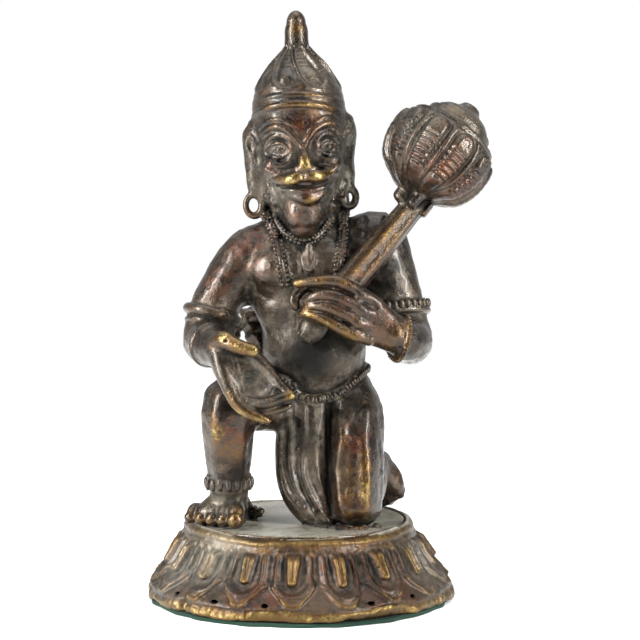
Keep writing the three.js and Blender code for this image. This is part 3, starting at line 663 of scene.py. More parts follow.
def right_foot():
    shapes = [
        limb([
            [-21.4, -6, 3.6, 4.8, 3.8], [-25, -10.6, 4.6, 6.6, 5], [-26.8, -14.6, 3.6, 8.2, 4],
            [-27.8, -17.2, 3, 8.6, 3],
        ], blend=2.5, across=(0.86, -0.5, 0), dome=0.5),
        lump((-28.6, -13, 5.6), (5.4, 5, 3.6), turn=(0, -24, 0), blend=2),
    ]
    TOES = 5
    for i in range(TOES):
        t = i / (TOES - 1)
        size = 2.25 + 0.75 * (1 - t) ** 2.2
        root = [-20.6 - 12 * t, -16.6 + 6 * t, 6.2 - 1.2 * t]
        reach = 7 - 1.6 * t
        tip = [root[0] - reach * (0.05 + 0.62 * t), root[1] - reach * (1 - 0.4 * t), size + 0.2]
        middle = [a * 0.4 + b * 0.6 for a, b in zip(root, tip)]
        middle[2] += 1.5
        before = [a * 0.3 + b * 0.7 for a, b in zip(middle, tip)]
        rows = [[*root, size * 0.75], [*middle, size * 0.96], [*before, size * 0.88], [*tip, size * 0.96]]
        shapes.append(limb(rows, blend=0.45, dome=0.9))
        nail = [tip[0], tip[1] - size * 0.45, tip[2] + size * 0.62]
        shapes.append(lump(nail, (size * 0.45, size * 0.35, size * 0.3), blend=0.3))
    return shapes


def back_foot_toes():
    """The toes of the left foot, tucked under and pressed on the plate."""
    toes = []
    TOES = 4
    for i in range(TOES):
        x = 28.6 + 2 * i
        toes.append(limb([[x, 21.6, 4.2 + 0.9 * i, 1.4], [x + 0.3, 19.4, 1.7 + 0.9 * i, 1.5]], blend=0.5))
    return toes


def loincloth():
    def folds(angle, along, share):
        swing = 1.2 * share
        deep = 0.3 * np.cos(7 * angle + swing) + 0.18 * np.cos(17 * angle - 2 * swing)
        return deep * smooth_step(0, 0.15, share)

    return [
        limb([
            [1.6, -5, 41, 8.6, 7], [1.2, -8, 32, 9, 5.8], [0.9, -9.6, 21, 9.1, 5], [2, -11, 13, 9.2, 4.4],
            [5.4, -12.4, 6.4, 8, 4], [9, -13.4, 1.8, 5.6, 3.6],
        ], blend=1.2, steps=5, relief=folds),
        limb([
            [5, 15.6, 44, 6, 2], [5.6, 17.4, 34, 7.6, 2], [6, 15.6, 24, 7.4, 2]
        ], blend=1.2, relief=folds),
    ]


def cloth_folds(wax):
    """Hanging folds that swing towards the kneeling knee at the hem, and the groove beside the thigh."""
    ridges = [
        [
            [-6.2, 37, 0.8], [-6.6, 30, 0.9], [-6.8, 22, 0.9], [-6.2, 15, 0.9], [-3.4, 9.6, 0.8],
            [1.6, 4.6, 0.7],
        ],
        [
            [-3, 37.4, 0.8], [-3.3, 31, 0.9], [-3.3, 25.5, 0.9], [-3.4, 19, 0.8], [-1.4, 12.8, 0.9],
            [3, 7, 0.8],
        ],
        [[0.9, 37.8, 0.8], [1.6, 31, 0.9], [2.4, 25.5, 0.8], [1, 19, 0.7], [2, 14, 0.8], [5.6, 6.6, 0.8]],
        [[4.6, 38, 0.6], [5, 31, 0.7], [4.6, 24, 0.6], [5.4, 17, 0.7], [7.4, 11, 0.7], [9.4, 5, 0.6]],
        [[7, 38.6, 0.8], [7.4, 31, 0.8], [7.6, 24, 0.7], [7.8, 16, 0.6]],
    ]
    shapes = [wax.laid(rows, -0.55, blend=2.2) for rows in ridges]
    valleys = [
        [[-4.7, 35, 0.5], [-5, 28, 0.6], [-5, 20, 0.6], [-3, 12.4, 0.6], [1, 6.8, 0.5]],
        [[-1, 35, 0.5], [-0.8, 28, 0.6], [-0.6, 20, 0.5], [0.6, 12.4, 0.6], [4, 6.4, 0.5]],
        [[9, 37, 0.6], [9.3, 29, 0.7], [9.8, 19.5, 0.7], [9.4, 10.9, 0.7], [10.4, 4, 0.5]],
    ]
    shapes += [wax.laid(rows, 0.15, blend=1.4, cut=True) for rows in valleys]
    # Small raised flowers strewn over the cloth
    FLOWERS = 26
    random = np.random.default_rng(5)
    for _ in range(FLOWERS):
        spot = wax.on_front([[random.uniform(-6.4, 7.4), random.uniform(14, 37)]], -0.15)[0]
        shapes.append(lump(spot, (0.55, 0.45, 0.55), blend=0.3))
    return shapes


def tail():
    def tufts(angle, along, share):
        return 0.3 * np.cos(5 * angle + 0.5 * along) + 0.25 * np.cos(2 * math.pi * along / 3.4)

    return [
        limb(TAIL, blend=0.8, relief=tufts),
        limb([[-16.4, -3, 2.6, 1.8], [-17.4, -5.4, 5.4, 1.3], [-17.8, -6.4, 7.8, 0.7]], blend=0.6),
        lump((-12.8, -8, 3.6), (1.2, 1.1, 1.1), blend=0.6),
    ]


def skull():
    def locks(angle, along, share):
        return 0.45 * np.cos(15 * angle + 0.06 * along)

    return [
        limb([
            [2.2, 5, 113, 13.6, 8], [2.6, 5, 104, 13.4, 7.6], [2.4, 5, 97, 10.4, 6.6]
        ], blend=2, relief=locks),
        limb([
            [1.2, -1, 106, 10.4, 9.5], [0.8, -2, 114, 13.2, 11.6], [0.6, -1, 124, 14.6, 13.6],
            [0, 0, 134, 15.2, 14.4], [-0.4, 1, 141, 14.4, 14.4],
        ], blend=2),
        lump((1.9, -9.6, 112.6), (9.4, 8.4, 6), blend=2.5),
        lump((-7.8, -9.6, 118), (4.4, 4, 3.4), blend=2),
        lump((9.8, -9.6, 119), (4.2, 4, 3.4), blend=2),
        limb([
            [2, -9, 109.4, 6.6, 6.4], [1.4, -10, 105.4, 7.1, 6.4], [1.2, -10.4, 101, 6.4, 6],
            [1.2, -10.2, 98.4, 4.8, 4.8],
        ], blend=1.2, dome=0.9),
        lump((-11.2, 1.5, 109.5), (2.8, 5, 4.5), blend=2),
        lump((12.6, 1.5, 111), (2.6, 5, 4.5), blend=2),
    ]


def face(wax):
    """Brows, eyes, nose, lips and cheeks, laid on the front of the head."""
    shapes = []

    def ridge(rows, lift=0.2, blend=0.5, cut=False):
        shapes.append(wax.laid(rows, lift, blend=blend, cut=cut, steps=3))

    # Round sockets with a soft rim, an almond between two lids and a bulging iris
    for x, z, wide, high in ((-7, 123.2, 4.6, 4.9), (9.2, 124.3, 4, 4.5)):
        inner, front, outer = (row[1] for row in wax.on_front([[x - 2.5, z], [x, z], [x + 2.5, z]]))
        turn = (0, 0, math.degrees(math.atan2(outer - inner, 5)))
        rim = [[x + wide * math.cos(angle), z + high * math.sin(angle), 0.45] for angle in turns(14)]
        shapes.append(lump((x, front, z), (0.88 * wide, 0.5, 0.84 * high), turn=turn, blend=1, cut=True))
        shapes.append(wax.laid(rim, -0.05, blend=1.1, closed=True, steps=3))
        shapes.append(lump((x, front + 0.9, z), (0.8 * wide, 1.3, 2.1), turn=turn, blend=0.3))
        shapes.append(lump((x + 0.2, front + 0.3, z + 0.1), (1.4, 1.2, 1.4), turn=turn, blend=0.15))
        for bow, thick in ((2.5, 0.62), (-2.2, 0.5)):
            lid = []
            for share in (-1, -0.6, -0.2, 0.2, 0.6, 1):
                height = z + bow * (1 - share**2) - 0.1
                lid.append([x + 0.84 * wide * share, height, thick * (1 - 0.3 * share**2)])
            shapes.append(wax.laid(lid, 0.1, blend=0.25, steps=3))
    ridge([
        [-12.8, 128, 0.7], [-11, 129.9, 1], [-7.8, 130.9, 1.2], [-4.3, 129.8, 1.25], [-1.4, 127, 1.1],
        [0.4, 124.6, 0.9],
    ])
    ridge([
        [1.6, 124.8, 0.9], [2.4, 126.8, 1.1], [4.6, 129.8, 1.25], [8.4, 131.9, 1.2], [11.6, 131.5, 1],
        [13.2, 129, 0.7],
    ])
    ridge(
        [
            [-13.6, 130.2, 0.5], [-10.4, 132.8, 0.6], [-6.6, 133.2, 0.6], [-3.2, 131.8, 0.5],
            [-0.4, 129, 0.4],
        ],
        0.1,
    )
    ridge([[2.6, 129.6, 0.4], [5, 132.4, 0.5], [8.6, 134, 0.6], [12, 133.4, 0.5]], 0.1)
    nose = [
        [0.9, -13.2, 126.4, 1.2], [1.1, -15, 123, 1.5], [1.5, -17, 120.6, 2], [1.7, -17.8, 118.4, 2.4, 2],
        [1.8, -18, 117.2, 2.7, 1.9],
    ]
    shapes.append(limb(nose, blend=0.9, steps=3, dome=0.5))
    shapes.append(lump((-0.7, -17.1, 117.1), (1.5, 1.7, 1.2), blend=0.6))
    shapes.append(lump((4.4, -17, 117.1), (1.5, 1.7, 1.2), blend=0.6))
    # The lip swells up to meet the nose
    shapes.append(lump((1.8, -16.8, 115.8), (3.4, 2.4, 1.6), blend=1))
    # Cheek folds beside the muzzle
    ridge([[-11.4, 117.4, 0.7], [-8.6, 116, 1], [-5.4, 116, 0.9], [-2.4, 117, 0.6]])
    ridge([[-11.4, 115.6, 0.7], [-9.6, 113.6, 1.1], [-7.4, 112.4, 1]])
    ridge([[6.2, 118.4, 0.6], [9, 118, 0.8], [12, 118.4, 0.7]])
    ridge([[7.4, 120.4, 0.5], [10, 119.9, 0.7], [12.8, 120.6, 0.6]])
    # A moustache-like upper lip, then the mouth and the lower lips
    ridge(
        [
            [-11.4, 116.2, 0.6], [-8.6, 114.4, 1.3], [-5.6, 113.4, 1.8], [-2.8, 113.6, 2.05],
            [-0.5, 114.4, 1.9], [1.3, 114, 1], [3.2, 114.6, 1.9], [6, 114.8, 2], [9, 115.9, 1.7],
            [12.1, 118, 0.6],
        ],
        0.8,
    )
    ridge([[1.2, 114.9, 0.25], [1.2, 113.7, 0.5], [1.4, 112.5, 0.5]], 2, 0.4, True)
    ridge(
        [[-6.8, 111.2, 0.45], [-3, 111.1, 0.6], [2, 111.2, 0.6], [6.6, 111.9, 0.6], [10.2, 113.4, 0.45]],
        0.1,
        0.4,
        True,
    )
    ridge([[-6, 110.5, 0.6], [-2, 110.1, 0.9], [3, 110.1, 0.9], [8, 111.2, 0.6]], 0.3)
    ridge(
        [[-3.6, 108.8, 0.9], [-0.6, 107.9, 1.6], [2.2, 107.4, 2.1], [5, 107.9, 1.7], [7.4, 109.4, 0.9]],
        0.4,
        1.2,
    )
    # The jaw's edge and the small locks beside it
    ridge([[-11.2, 115, 0.7], [-9.8, 111, 0.9], [-7.4, 107.6, 0.8], [-6.4, 104.6, 0.6]], 0.1)
    ridge([[12.2, 113.4, 0.6], [10.8, 109.6, 0.7], [9.4, 106, 0.7], [8.8, 103, 0.5]], 0.1)
    ridge([[11, 108.6, 0.45], [10.2, 105.4, 0.5], [9.8, 102, 0.45]], -0.1, 0.3, True)
    return shapes


EARS = [
    # The flap's stations, then where its curl lies
    (
        [
            [-14.6, 1.2, 131.6, 3, 3.4], [-15.3, 0.6, 127.6, 4, 4.4], [-14.7, 0.2, 120, 3.8, 4],
            [-14.7, 0, 112, 3, 3], [-15.2, -0.2, 108.8, 2, 1.7],
        ],
        -16.4,
    ),
    (
        [
            [14.8, 1.2, 133.6, 3, 3.6], [14.8, 0.6, 129.4, 4, 4.6], [14.2, 0.2, 121, 3.8, 4],
            [14.9, 0, 115, 3.5, 3.1], [16.2, -0.2, 111.2, 2.2, 1.8],
        ],
        16,
    ),
]


def ears():
    return [limb(rows, blend=2.2) for rows, _ in EARS]


def ear_carving(wax):
    """A curl at the top of each ear, and the hoop in its lobe."""
    shapes = []
    for rows, x in EARS:
        z = rows[1][2] - 2
        out = math.copysign(1, x)
        curl = []
        for i in range(9):
            angle = -0.9 + 0.52 * i
            curl.append([x + out * 1.4 * math.cos(angle), z + 2.4 * math.sin(angle), 0.42])
        shapes.append(wax.laid(curl, 0, blend=0.8))
        shapes.append(wax.laid([[x, z + 0.8, 0.7], [x, z - 1.4, 0.7]], 0.1, blend=0.9, cut=True))
    # Hoops, thicker on the side towards the neck
    hoops = [(-15.3, 105.3, 2.75, 3.5, 1.05, 1.4), (16.5, 107.9, 2.1, 2.9, 1.25, 1.6)]
    for x, z, wide, high, thin, thick in hoops:
        inward = -1 if x > 0 else 1
        rows = []
        for angle in turns(14):
            section = thin + (thick - thin) * (0.5 + 0.5 * inward * math.cos(angle))
            rows.append([x + wide * math.cos(angle), -0.6, z + high * math.sin(angle), section])
        shapes.append(limb(rows, blend=0.4, closed=True, steps=3, across=Y_AXIS))
    return shapes


def curls(wax):
    """Small curls of hair below the ears."""
    CURLS = 46  # on each side
    random = np.random.default_rng(3)
    places = []
    for side in (-1, 1):
        for _ in range(CURLS):
            x = 2 + side * random.uniform(8.6, 13.4)
            places.append([x, random.uniform(-7, 1), random.uniform(98, 114 - 4 * (side < 0))])
    settled = wax.settled(places, 0)
    sizes = random.uniform(0.6, 1.15, len(places))
    return [lump(place, (size,) * 3, blend=0.5) for place, size in zip(settled, sizes)]


CROWN = [
    # height, radius
    (133, 14.8), (135, 15.3), (138, 15.3), (141, 14.9), (144, 13.7), (147, 12.2), (150, 10.3),
    (152.8, 8.4), (155.2, 6.2), (157.4, 4.5), (158.8, 4.1), (160.4, 3.9), (162.8, 3.9), (164.4, 3.6),
    (165.3, 3.25),
]


def crown_radius(z):
    heights, radii = zip(*CROWN)
    return float(np.interp(z, heights, radii))


def crown():
    """A cap of ribs and round-ended sunken panels, over low bands and under a finial like a thumb."""
    RIBS = 8
    FRONT_RIB = 0.889  # turns the ribs so that one stands a little right of the middle
    TWIST = 0.42  # radians that the ribs wind round on their way up
    LEAN = -0.9  # how far the tip leans over from the brim
    HATCHES = 1.3  # millimetres from hatch to hatch
    PANEL_FOOT = 15.4  # millimetres up the crown where the panels' round ends have their centres

    def carving(angle, along, share):
        radius = np.interp(along, [0, 8, 14, 20, 25], [15.8, 15, 12.4, 8.8, 4.6])
        turned = angle + TWIST * smooth_step(12, 26, along)
        sector = turned * RIBS / (2 * math.pi) + FRONT_RIB
        half = math.pi / RIBS * radius
        off_centre = half - np.abs(sector - np.round(sector)) * 2 * half
        width = half - (0.3 + 0.045 * radius)
        edge = np.hypot(off_centre, np.maximum(0, PANEL_FOOT - along)) - width
        panel = smooth_step(0.35, -0.55, edge)
        rib = smooth_step(-0.2, 0.6, edge)
        bulge = swell(along - PANEL_FOOT + 0.6, 2.6) * smooth_step(-0.2, -2, edge)
        hatched = smooth_step(-0.3, -0.8, edge) * smooth_step(PANEL_FOOT + 0.5, PANEL_FOOT + 2.5, along)
        hatch = 0.25 * np.cos(2 * math.pi * along / HATCHES) * hatched
        here = smooth_step(9.6, 11.4, along) * smooth_step(26, 23.6, along)
        crease = 0.6 * swell(edge + 0.1, 0.36)
        return (0.9 * rib - 0.85 * panel + 1.3 * bulge - crease + hatch) * here

    foot, tip = CROWN[0][0], CROWN[-1][0]
    rows = []
    for z, radius in CROWN:
        share = (z - foot) / (tip - foot)
        rows.append([-0.4 + LEAN * share, 0.6 - 0.6 * share, z, radius])
    shapes = [limb(rows, blend=0.8, steps=3, dome=1.35, relief=carving)]
    # Bands that rise over the brow
    low_bands = [
        (134.8, 3.4, 0, 1.2), (137.2, 2.6, 0.1, 0.35), (138.9, 2.3, -0.1, 0.95), (141.6, 1.6, 0, 0.5)
    ]
    for z, rise, proud, thick in low_bands:
        rows = []
        for angle in turns(20):
            height = z + rise * max(0, -math.sin(angle)) ** 1.5
            radius = crown_radius(height) + proud - 0.7 * thick * math.cos(angle) ** 4
            rows.append([-0.5 + radius * math.cos(angle), 0.5 + radius * math.sin(angle), height, thick])
        shapes.append(limb(rows, blend=0.5, closed=True, steps=3))
    return shapes


ARMLETS = [
    # centre, axis, half width, half depth, thickness
    ((-29.4, -1.3, 69), (-0.26, -0.14, -1), 8.2, 9.1, 1.8),
    ((-29.8, -1.8, 65.6), (-0.22, -0.2, -1), 8.2, 9, 0.8),
    ((33, -1.2, 71.6), (0.12, -0.14, -1), 9.1, 9.1, 1.2),
    ((33.5, -1.6, 69.2), (0.12, -0.2, -1), 9.1, 9.1, 1.2),
]
BANGLES = [((-29.4, -16.4, 59.9), (0.5, -0.86, -0.08), 6.8, 6.8, 0.8), (
    (-28.2, -18.4, 59.7), (0.5, -0.86, -0.08), 6.5, 6.5, 0.8
)]
LEFT_BANGLE = ((32.4, -21, 62.3), (-0.93, -0.32, 0.2), 7.4, 7.4)


def bands():
    shapes = []
    for centre, axis, wide, deep, thick in ARMLETS + BANGLES:
        shapes.append(limb(ring_rows(
            centre, axis, X_AXIS, wide, deep, thick
        ), blend=0.4, closed=True, steps=3))
    # A boss on the right armlet: a disc, a ring and a bead
    shapes.append(lump((-25.2, -10.9, 69.6), (2.4, 1.2, 2.2), turn=(0, 0, 16), blend=0.4))
    shapes.append(lump((-25, -12, 69.6), (0.9, 0.8, 0.9), blend=0.2))
    return shapes


def belt_rows():
    """The belt dips under the belly and lies level round the back."""
    rows = []
    for angle in np.linspace(0, 2 * math.pi, 41)[:-1]:
        dip = 9.4 * max(0, -math.sin(angle)) ** 2.2
        rows.append([5.3 + 16.4 * math.cos(angle), 0.6 + 13.6 * math.sin(angle), 50.8 - dip])
    return rows


# The long necklace hangs down the chest in two strands, x and z on the front
MALA_LEFT = [[-4.8, 79.4], [-5.3, 82.5], [-6.3, 87.4], [-7.3, 92.3], [-8.7, 96.7]]
MALA_BACK = [[-11.2, -3, 101.6], [-10.6, 5, 103.4], [0, 13, 103], [11, 6, 104], [14.6, -3, 101.8]]
MALA_RIGHT = [[14.4, 96.7], [13.9, 92.3], [13.1, 87.4], [11.8, 82.6]]
COLLAR_FRONT = [[-8.2, 100.3], [-6, 97.2], [-2.9, 94.9], [0.6, 93.7], [4.4, 94.2], [7.6, 96.7], [10, 100.1]]


def sheath(points, thick, closed=False):
    """A plain cord along settled points."""
    return limb([[*point, thick] for point in points], blend=0.3, closed=closed, steps=3)


def pendant(wax):
    """A leaf with a raised rim and a seed in its middle."""
    front = wax.on_front([[3, 88.8]])[0][1]
    leaf = lump((3, front + 0.2, 88.8), (1.7, 0.9, 4.6), blend=0.3)
    rim = []
    for angle in turns(16):
        rim.append([
            3 + 1.9 * math.sin(angle) * (1 - 0.25 * math.cos(angle)), 88.8 + 4.8 * math.cos(angle), 0.42
        ])
    border = wax.laid(rim, 0.3, blend=0.3, closed=True, steps=3)
    seed = lump((3, front - 0.5, 88.4), (0.9, 0.7, 3), blend=0.3)
    return [leaf, border, seed]


def braze_lumps():
    """Rough lumps of metal that hold the knee and the cloth to the plate."""
    KNEE = (16.4, -12.6)
    KNEE_STRETCH = 1.15
    SHIN = (-22, -9)
    SHIN_REACH = 8
    random = np.random.default_rng(7)
    lumps = []
    for _ in range(46):
        turn = random.uniform(-2.7, -0.35)
        out = random.uniform(8.4, 10.6)
        x = KNEE[0] + out * math.cos(turn) * KNEE_STRETCH
        y = KNEE[1] + out * math.sin(turn)
        size = random.uniform(0.5, 1.15)
        lumps.append(lump((x, y, 0.2), (size, size, size * 1.1), blend=0.4))
    for _ in range(16):
        turn = random.uniform(0, 2 * math.pi)
        x = SHIN[0] + SHIN_REACH * math.cos(turn)
        y = SHIN[1] + SHIN_REACH * math.sin(turn)
        size = random.uniform(0.4, 0.8)
        lumps.append(lump((x, y, 0.2), (size, size, size), blend=0.4))
    return lumps


def sculpted():
    """The whole figure in wax, and the settled paths of its belt and chains."""
    LOW_CORNER = (-41, -40, -3)
    HIGH_CORNER = (66, 37, 172)
    wax = Wax(LOW_CORNER, HIGH_CORNER, PITCH)
    wax.work(torso() + arms() + legs() + tail() + skull() + ears())
    wax.work(thigh_creases(wax))
    wax.roughen(0.09, 7)
    wax.roughen(0.05, 3.1)
    wax.work(loincloth() + right_foot() + back_foot_toes() + anklet() + crown())
    wax.work(cloth_folds(wax))
    wax.work(face(wax) + ear_carving(wax) + curls(wax))
    belt = wax.settled(belt_rows(), 0.35, level=True)
    mala = np.vstack([
        wax.on_front(MALA_LEFT, 0.5), wax.settled(MALA_BACK, 0.5), wax.on_front(MALA_RIGHT, 0.5)
    ])
    collar = np.array(wax.on_front(COLLAR_FRONT, 0.4))
    cords = [
        limb([[*point, 1.6, 0.8] for point in belt], blend=0.4, across=Z_AXIS, closed=True, steps=3),
        sheath(belt + [0, 0, 1.5], 0.5, closed=True),
        sheath(belt - [0, 0, 1.5], 0.5, closed=True),
        sheath(mala, 1.05),
        sheath(collar, 0.8),
    ]
    wax.work(cords + pendant(wax) + bands())
    wax.work(mace() + left_hand() + right_hand() + braze_lumps())
    bangle = wax.settled(rows_about(*LEFT_BANGLE, count=24), 0.35)
    wax.work([limb([[*point, 1.1, 1.1] for point in bangle], blend=0.3, closed=True, steps=3)])
    # The casting stands on its plate, and the toes clear the plinth's lip
    floor = (LIP_STEP + CLEARANCE) / SCALE
    outside = np.sqrt((wax.axes[0] ** 2)[:, None] + (wax.axes[1] ** 2)[None, :]) > PLATE_DRAWN - 0.3
    ground = np.where(outside[:, :, None], floor, -PLATE_THICKNESS) - wax.axes[2][None, None, :]
    wax.field = np.maximum(wax.field, ground.astype(np.float32))
    wax.work([disc(PLATE_DRAWN, -PLATE_THICKNESS / SCALE, 0)])
    return wax, {"belt": belt, "mala": mala, "collar": collar}


# Meshes


def to_metres(points):
    points = np.asarray(points, float) * SCALE
    points[:, 2] += DECK_HEIGHT
    return points * MM


def linked(name, data):
    made = bpy.data.objects.new(name, data)
    bpy.context.scene.collection.objects.link(made)
    return made


def new_object(name, points, faces, smooth=True):
    mesh = bpy.data.meshes.new(name)
    mesh.from_pydata([tuple(p) for p in points], [], [tuple(f) for f in faces])
    mesh.update()
    if smooth:
        mesh.shade_smooth()
    return linked(name, mesh)


def mesh_from_grid(name, points, quads):
    """A mesh straight from arrays, much faster than a list of faces."""
    mesh = bpy.data.meshes.new(name)
    mesh.vertices.add(len(points))
    mesh.vertices.foreach_set("co", points.astype(np.float32).ravel())
    mesh.loops.add(quads.size)
    mesh.loops.foreach_set("vertex_index", quads.astype(np.int32).ravel())
    mesh.polygons.add(len(quads))
    mesh.polygons.foreach_set("loop_start", np.arange(0, quads.size, quads.shape[1], dtype=np.int32))
    mesh.update(calc_edges=True)
    mesh.validate()
    mesh.shade_smooth()
    return linked(name, mesh)


def baked(piece):
    """Swaps a piece's live modifiers for the plain mesh that they make."""
    graph = bpy.context.evaluated_depsgraph_get()
    mesh = bpy.data.meshes.new_from_object(piece.evaluated_get(graph))
    piece.modifiers.clear()
    old = piece.data
    piece.data = mesh
    bpy.data.meshes.remove(old)
    return piece


def arrays(mesh):
    mesh.calc_loop_triangles()
    points = np.empty(len(mesh.vertices) * 3, np.float32)
    mesh.vertices.foreach_get("co", points)
    triangles = np.empty(len(mesh.loop_triangles) * 3, np.int32)
    mesh.loop_triangles.foreach_get("vertices", triangles)
    return points.reshape(-1, 3), triangles.reshape(-1, 3)


def volume_of(points, triangles):
    a, b, c = (points[triangles[:, k]].astype(float) for k in range(3))
    return float((np.cross(a, b) * c).sum() / 6)


def turn_outward(piece):
    points, triangles = arrays(piece.data)
    if volume_of(points, triangles) < 0:
        piece.data.flip_normals()


def cast_from(wax):
    """The wax's surface as a mesh of about FIGURE_TRIANGLES."""
    grid = openvdb.FloatGrid(FAR)
    grid.copyFromArray(np.clip(wax.field, -FAR, FAR))
    points, _, quads = grid.convertToPolygons(0.0, 0.0)
    placed = to_metres(points * wax.pitch + wax.low)
    if volume_of(placed, quads[:, :3]) + volume_of(placed, quads[:, [0, 2, 3]]) < 0:
        quads = quads[:, ::-1]
    cast = mesh_from_grid("figure_casting", placed, quads)
    share = FIGURE_TRIANGLES / (2 * len(quads))
    if share < 1:
        thinner = cast.modifiers.new("thinner", "DECIMATE")
        thinner.ratio = share
        baked(cast)
    return cast


# Node trees


def add_node(tree, kind, inputs=None, **settings):
    """Adds a node with its settings, values and links. An input is named by its name or its number."""
    node = tree.nodes.new(kind)
    for key, value in settings.items():
        setattr(node, key, value)
    for key, value in (inputs or {}).items():
        socket = node.inputs[key]
        if isinstance(value, bpy.types.NodeSocket):
            tree.links.new(value, socket)
        else:
            socket.default_value = value
    return node


def new_geometry_tree(name, inputs):
    """An empty geometry tree with the named inputs, each a name, socket type and value."""
    tree = bpy.data.node_groups.new(name, "GeometryNodeTree")
    tree.interface.new_socket("Geometry", in_out="INPUT", socket_type="NodeSocketGeometry")
    for label, kind, value in inputs:
        socket = tree.interface.new_socket(label, in_out="INPUT", socket_type=kind)
        if value is not None:
            socket.default_value = value
    tree.interface.new_socket("Geometry", in_out="OUTPUT", socket_type="NodeSocketGeometry")
    return tree


def run_tree(piece, tree, values):
    """Runs a geometry tree on a piece with its inputs set by identifier, and keeps the plain mesh."""
    modifier = piece.modifiers.new(tree.name, "NODES")
    modifier.node_group = tree
    for item in tree.interface.items_tree:
        if item.in_out == "INPUT" and item.name in values:
            modifier[item.identifier] = values[item.name]
    return baked(piece)


def strung_tree():
    """Beads, studs or flutes along a path, each turned to the path and to the way out of the surface."""
    tree = new_geometry_tree("strung_ornament", [
        ("Spacing", "NodeSocketFloat", 0.002), ("Size", "NodeSocketVector", (0.001, 0.001, 0.001)),
        ("Uneven", "NodeSocketFloat", 0.1), ("Seed", "NodeSocketInt", 1),
        ("Finish", "NodeSocketMaterial", None),
    ])
    start = add_node(tree, "NodeGroupInput")
    curve = add_node(tree, "GeometryNodeMeshToCurve", {"Mesh": start.outputs["Geometry"]})
    even = add_node(
        tree,
        "GeometryNodeResampleCurve",
        {"Curve": curve.outputs[0], "Length": start.outputs["Spacing"]},
        mode="LENGTH",
    )
    along = add_node(tree, "GeometryNodeInputTangent")
    outward = add_node(
        tree, "GeometryNodeInputNamedAttribute", {"Name": "outward"}, data_type="FLOAT_VECTOR"
    )
    first = add_node(tree, "FunctionNodeAlignRotationToVector", {"Vector": along.outputs[0]}, axis="X")
    turned = add_node(
        tree,
        "FunctionNodeAlignRotationToVector",
        {"Rotation": first.outputs[0], "Vector": outward.outputs[0]},
        axis="Z",
        pivot_axis="X",
    )
    bead = add_node(tree, "GeometryNodeMeshIcoSphere", {"Radius": 1.0, "Subdivisions": 2})
    low = add_node(tree, "ShaderNodeMath", {0: 1.0, 1: start.outputs["Uneven"]}, operation="SUBTRACT")
    high = add_node(tree, "ShaderNodeMath", {0: 1.0, 1: start.outputs["Uneven"]}, operation="ADD")
    spread = add_node(
        tree,
        "FunctionNodeRandomValue",
        {2: low.outputs[0], 3: high.outputs[0], "Seed": start.outputs["Seed"]},
        data_type="FLOAT",
    )
    size = add_node(
        tree, "ShaderNodeVectorMath", {0: start.outputs["Size"], 3: spread.outputs[1]}, operation="SCALE"
    )
    placed = add_node(tree, "GeometryNodeInstanceOnPoints", {
        "Points": even.outputs[0], "Instance": bead.outputs[0], "Rotation": turned.outputs[0],
        "Scale": size.outputs[0],
    })
    real = add_node(tree, "GeometryNodeRealizeInstances", {"Geometry": placed.outputs[0]})
    finished = add_node(tree, "GeometryNodeSetMaterial", {
        "Geometry": real.outputs[0], "Material": start.outputs["Finish"]
    })
    add_node(tree, "NodeGroupOutput", {"Geometry": finished.outputs[0]})
    return tree


def path_object(name, points, outward, closed):
    """A line of edges in metres that remembers the way out of the surface at each point."""
    count = len(points)
    mesh = bpy.data.meshes.new(name)
    edges = [(i, i + 1) for i in range(count - 1)] + ([(count - 1, 0)] if closed else [])
    mesh.from_pydata([tuple(p) for p in to_metres(points)], edges, [])
    stored = mesh.attributes.new("outward", "FLOAT_VECTOR", "POINT")
    stored.data.foreach_set("vector", np.asarray(outward, np.float32).ravel())
    return linked(name, mesh)


def strung(tree, name, wax, rows, spacing, size, finish, closed=False, uneven=0.08, seed=1, lift=0.5):
    """Ornaments along a path on the wax. Spacing and size (along, across, out) are drawn millimetres."""
    STEPS = 8  # points between each two of the rows
    dense = spline(np.asarray(rows, float), STEPS, closed)
    if closed:
        dense = dense[:-1]
    points = wax.settled(dense, lift)
    piece = path_object(name, points, wax.slope(points), closed)
    factor = SCALE * MM
    values = {
        "Spacing": spacing * factor, "Size": [s * factor for s in size], "Uneven": uneven, "Seed": seed,
        "Finish": finish,
    }
    return run_tree(piece, tree, values)


def rows_about(centre, axis, wide, deep, count=20):
    return [row[:3] for row in ring_rows(centre, axis, X_AXIS, wide, deep, 1, count)]


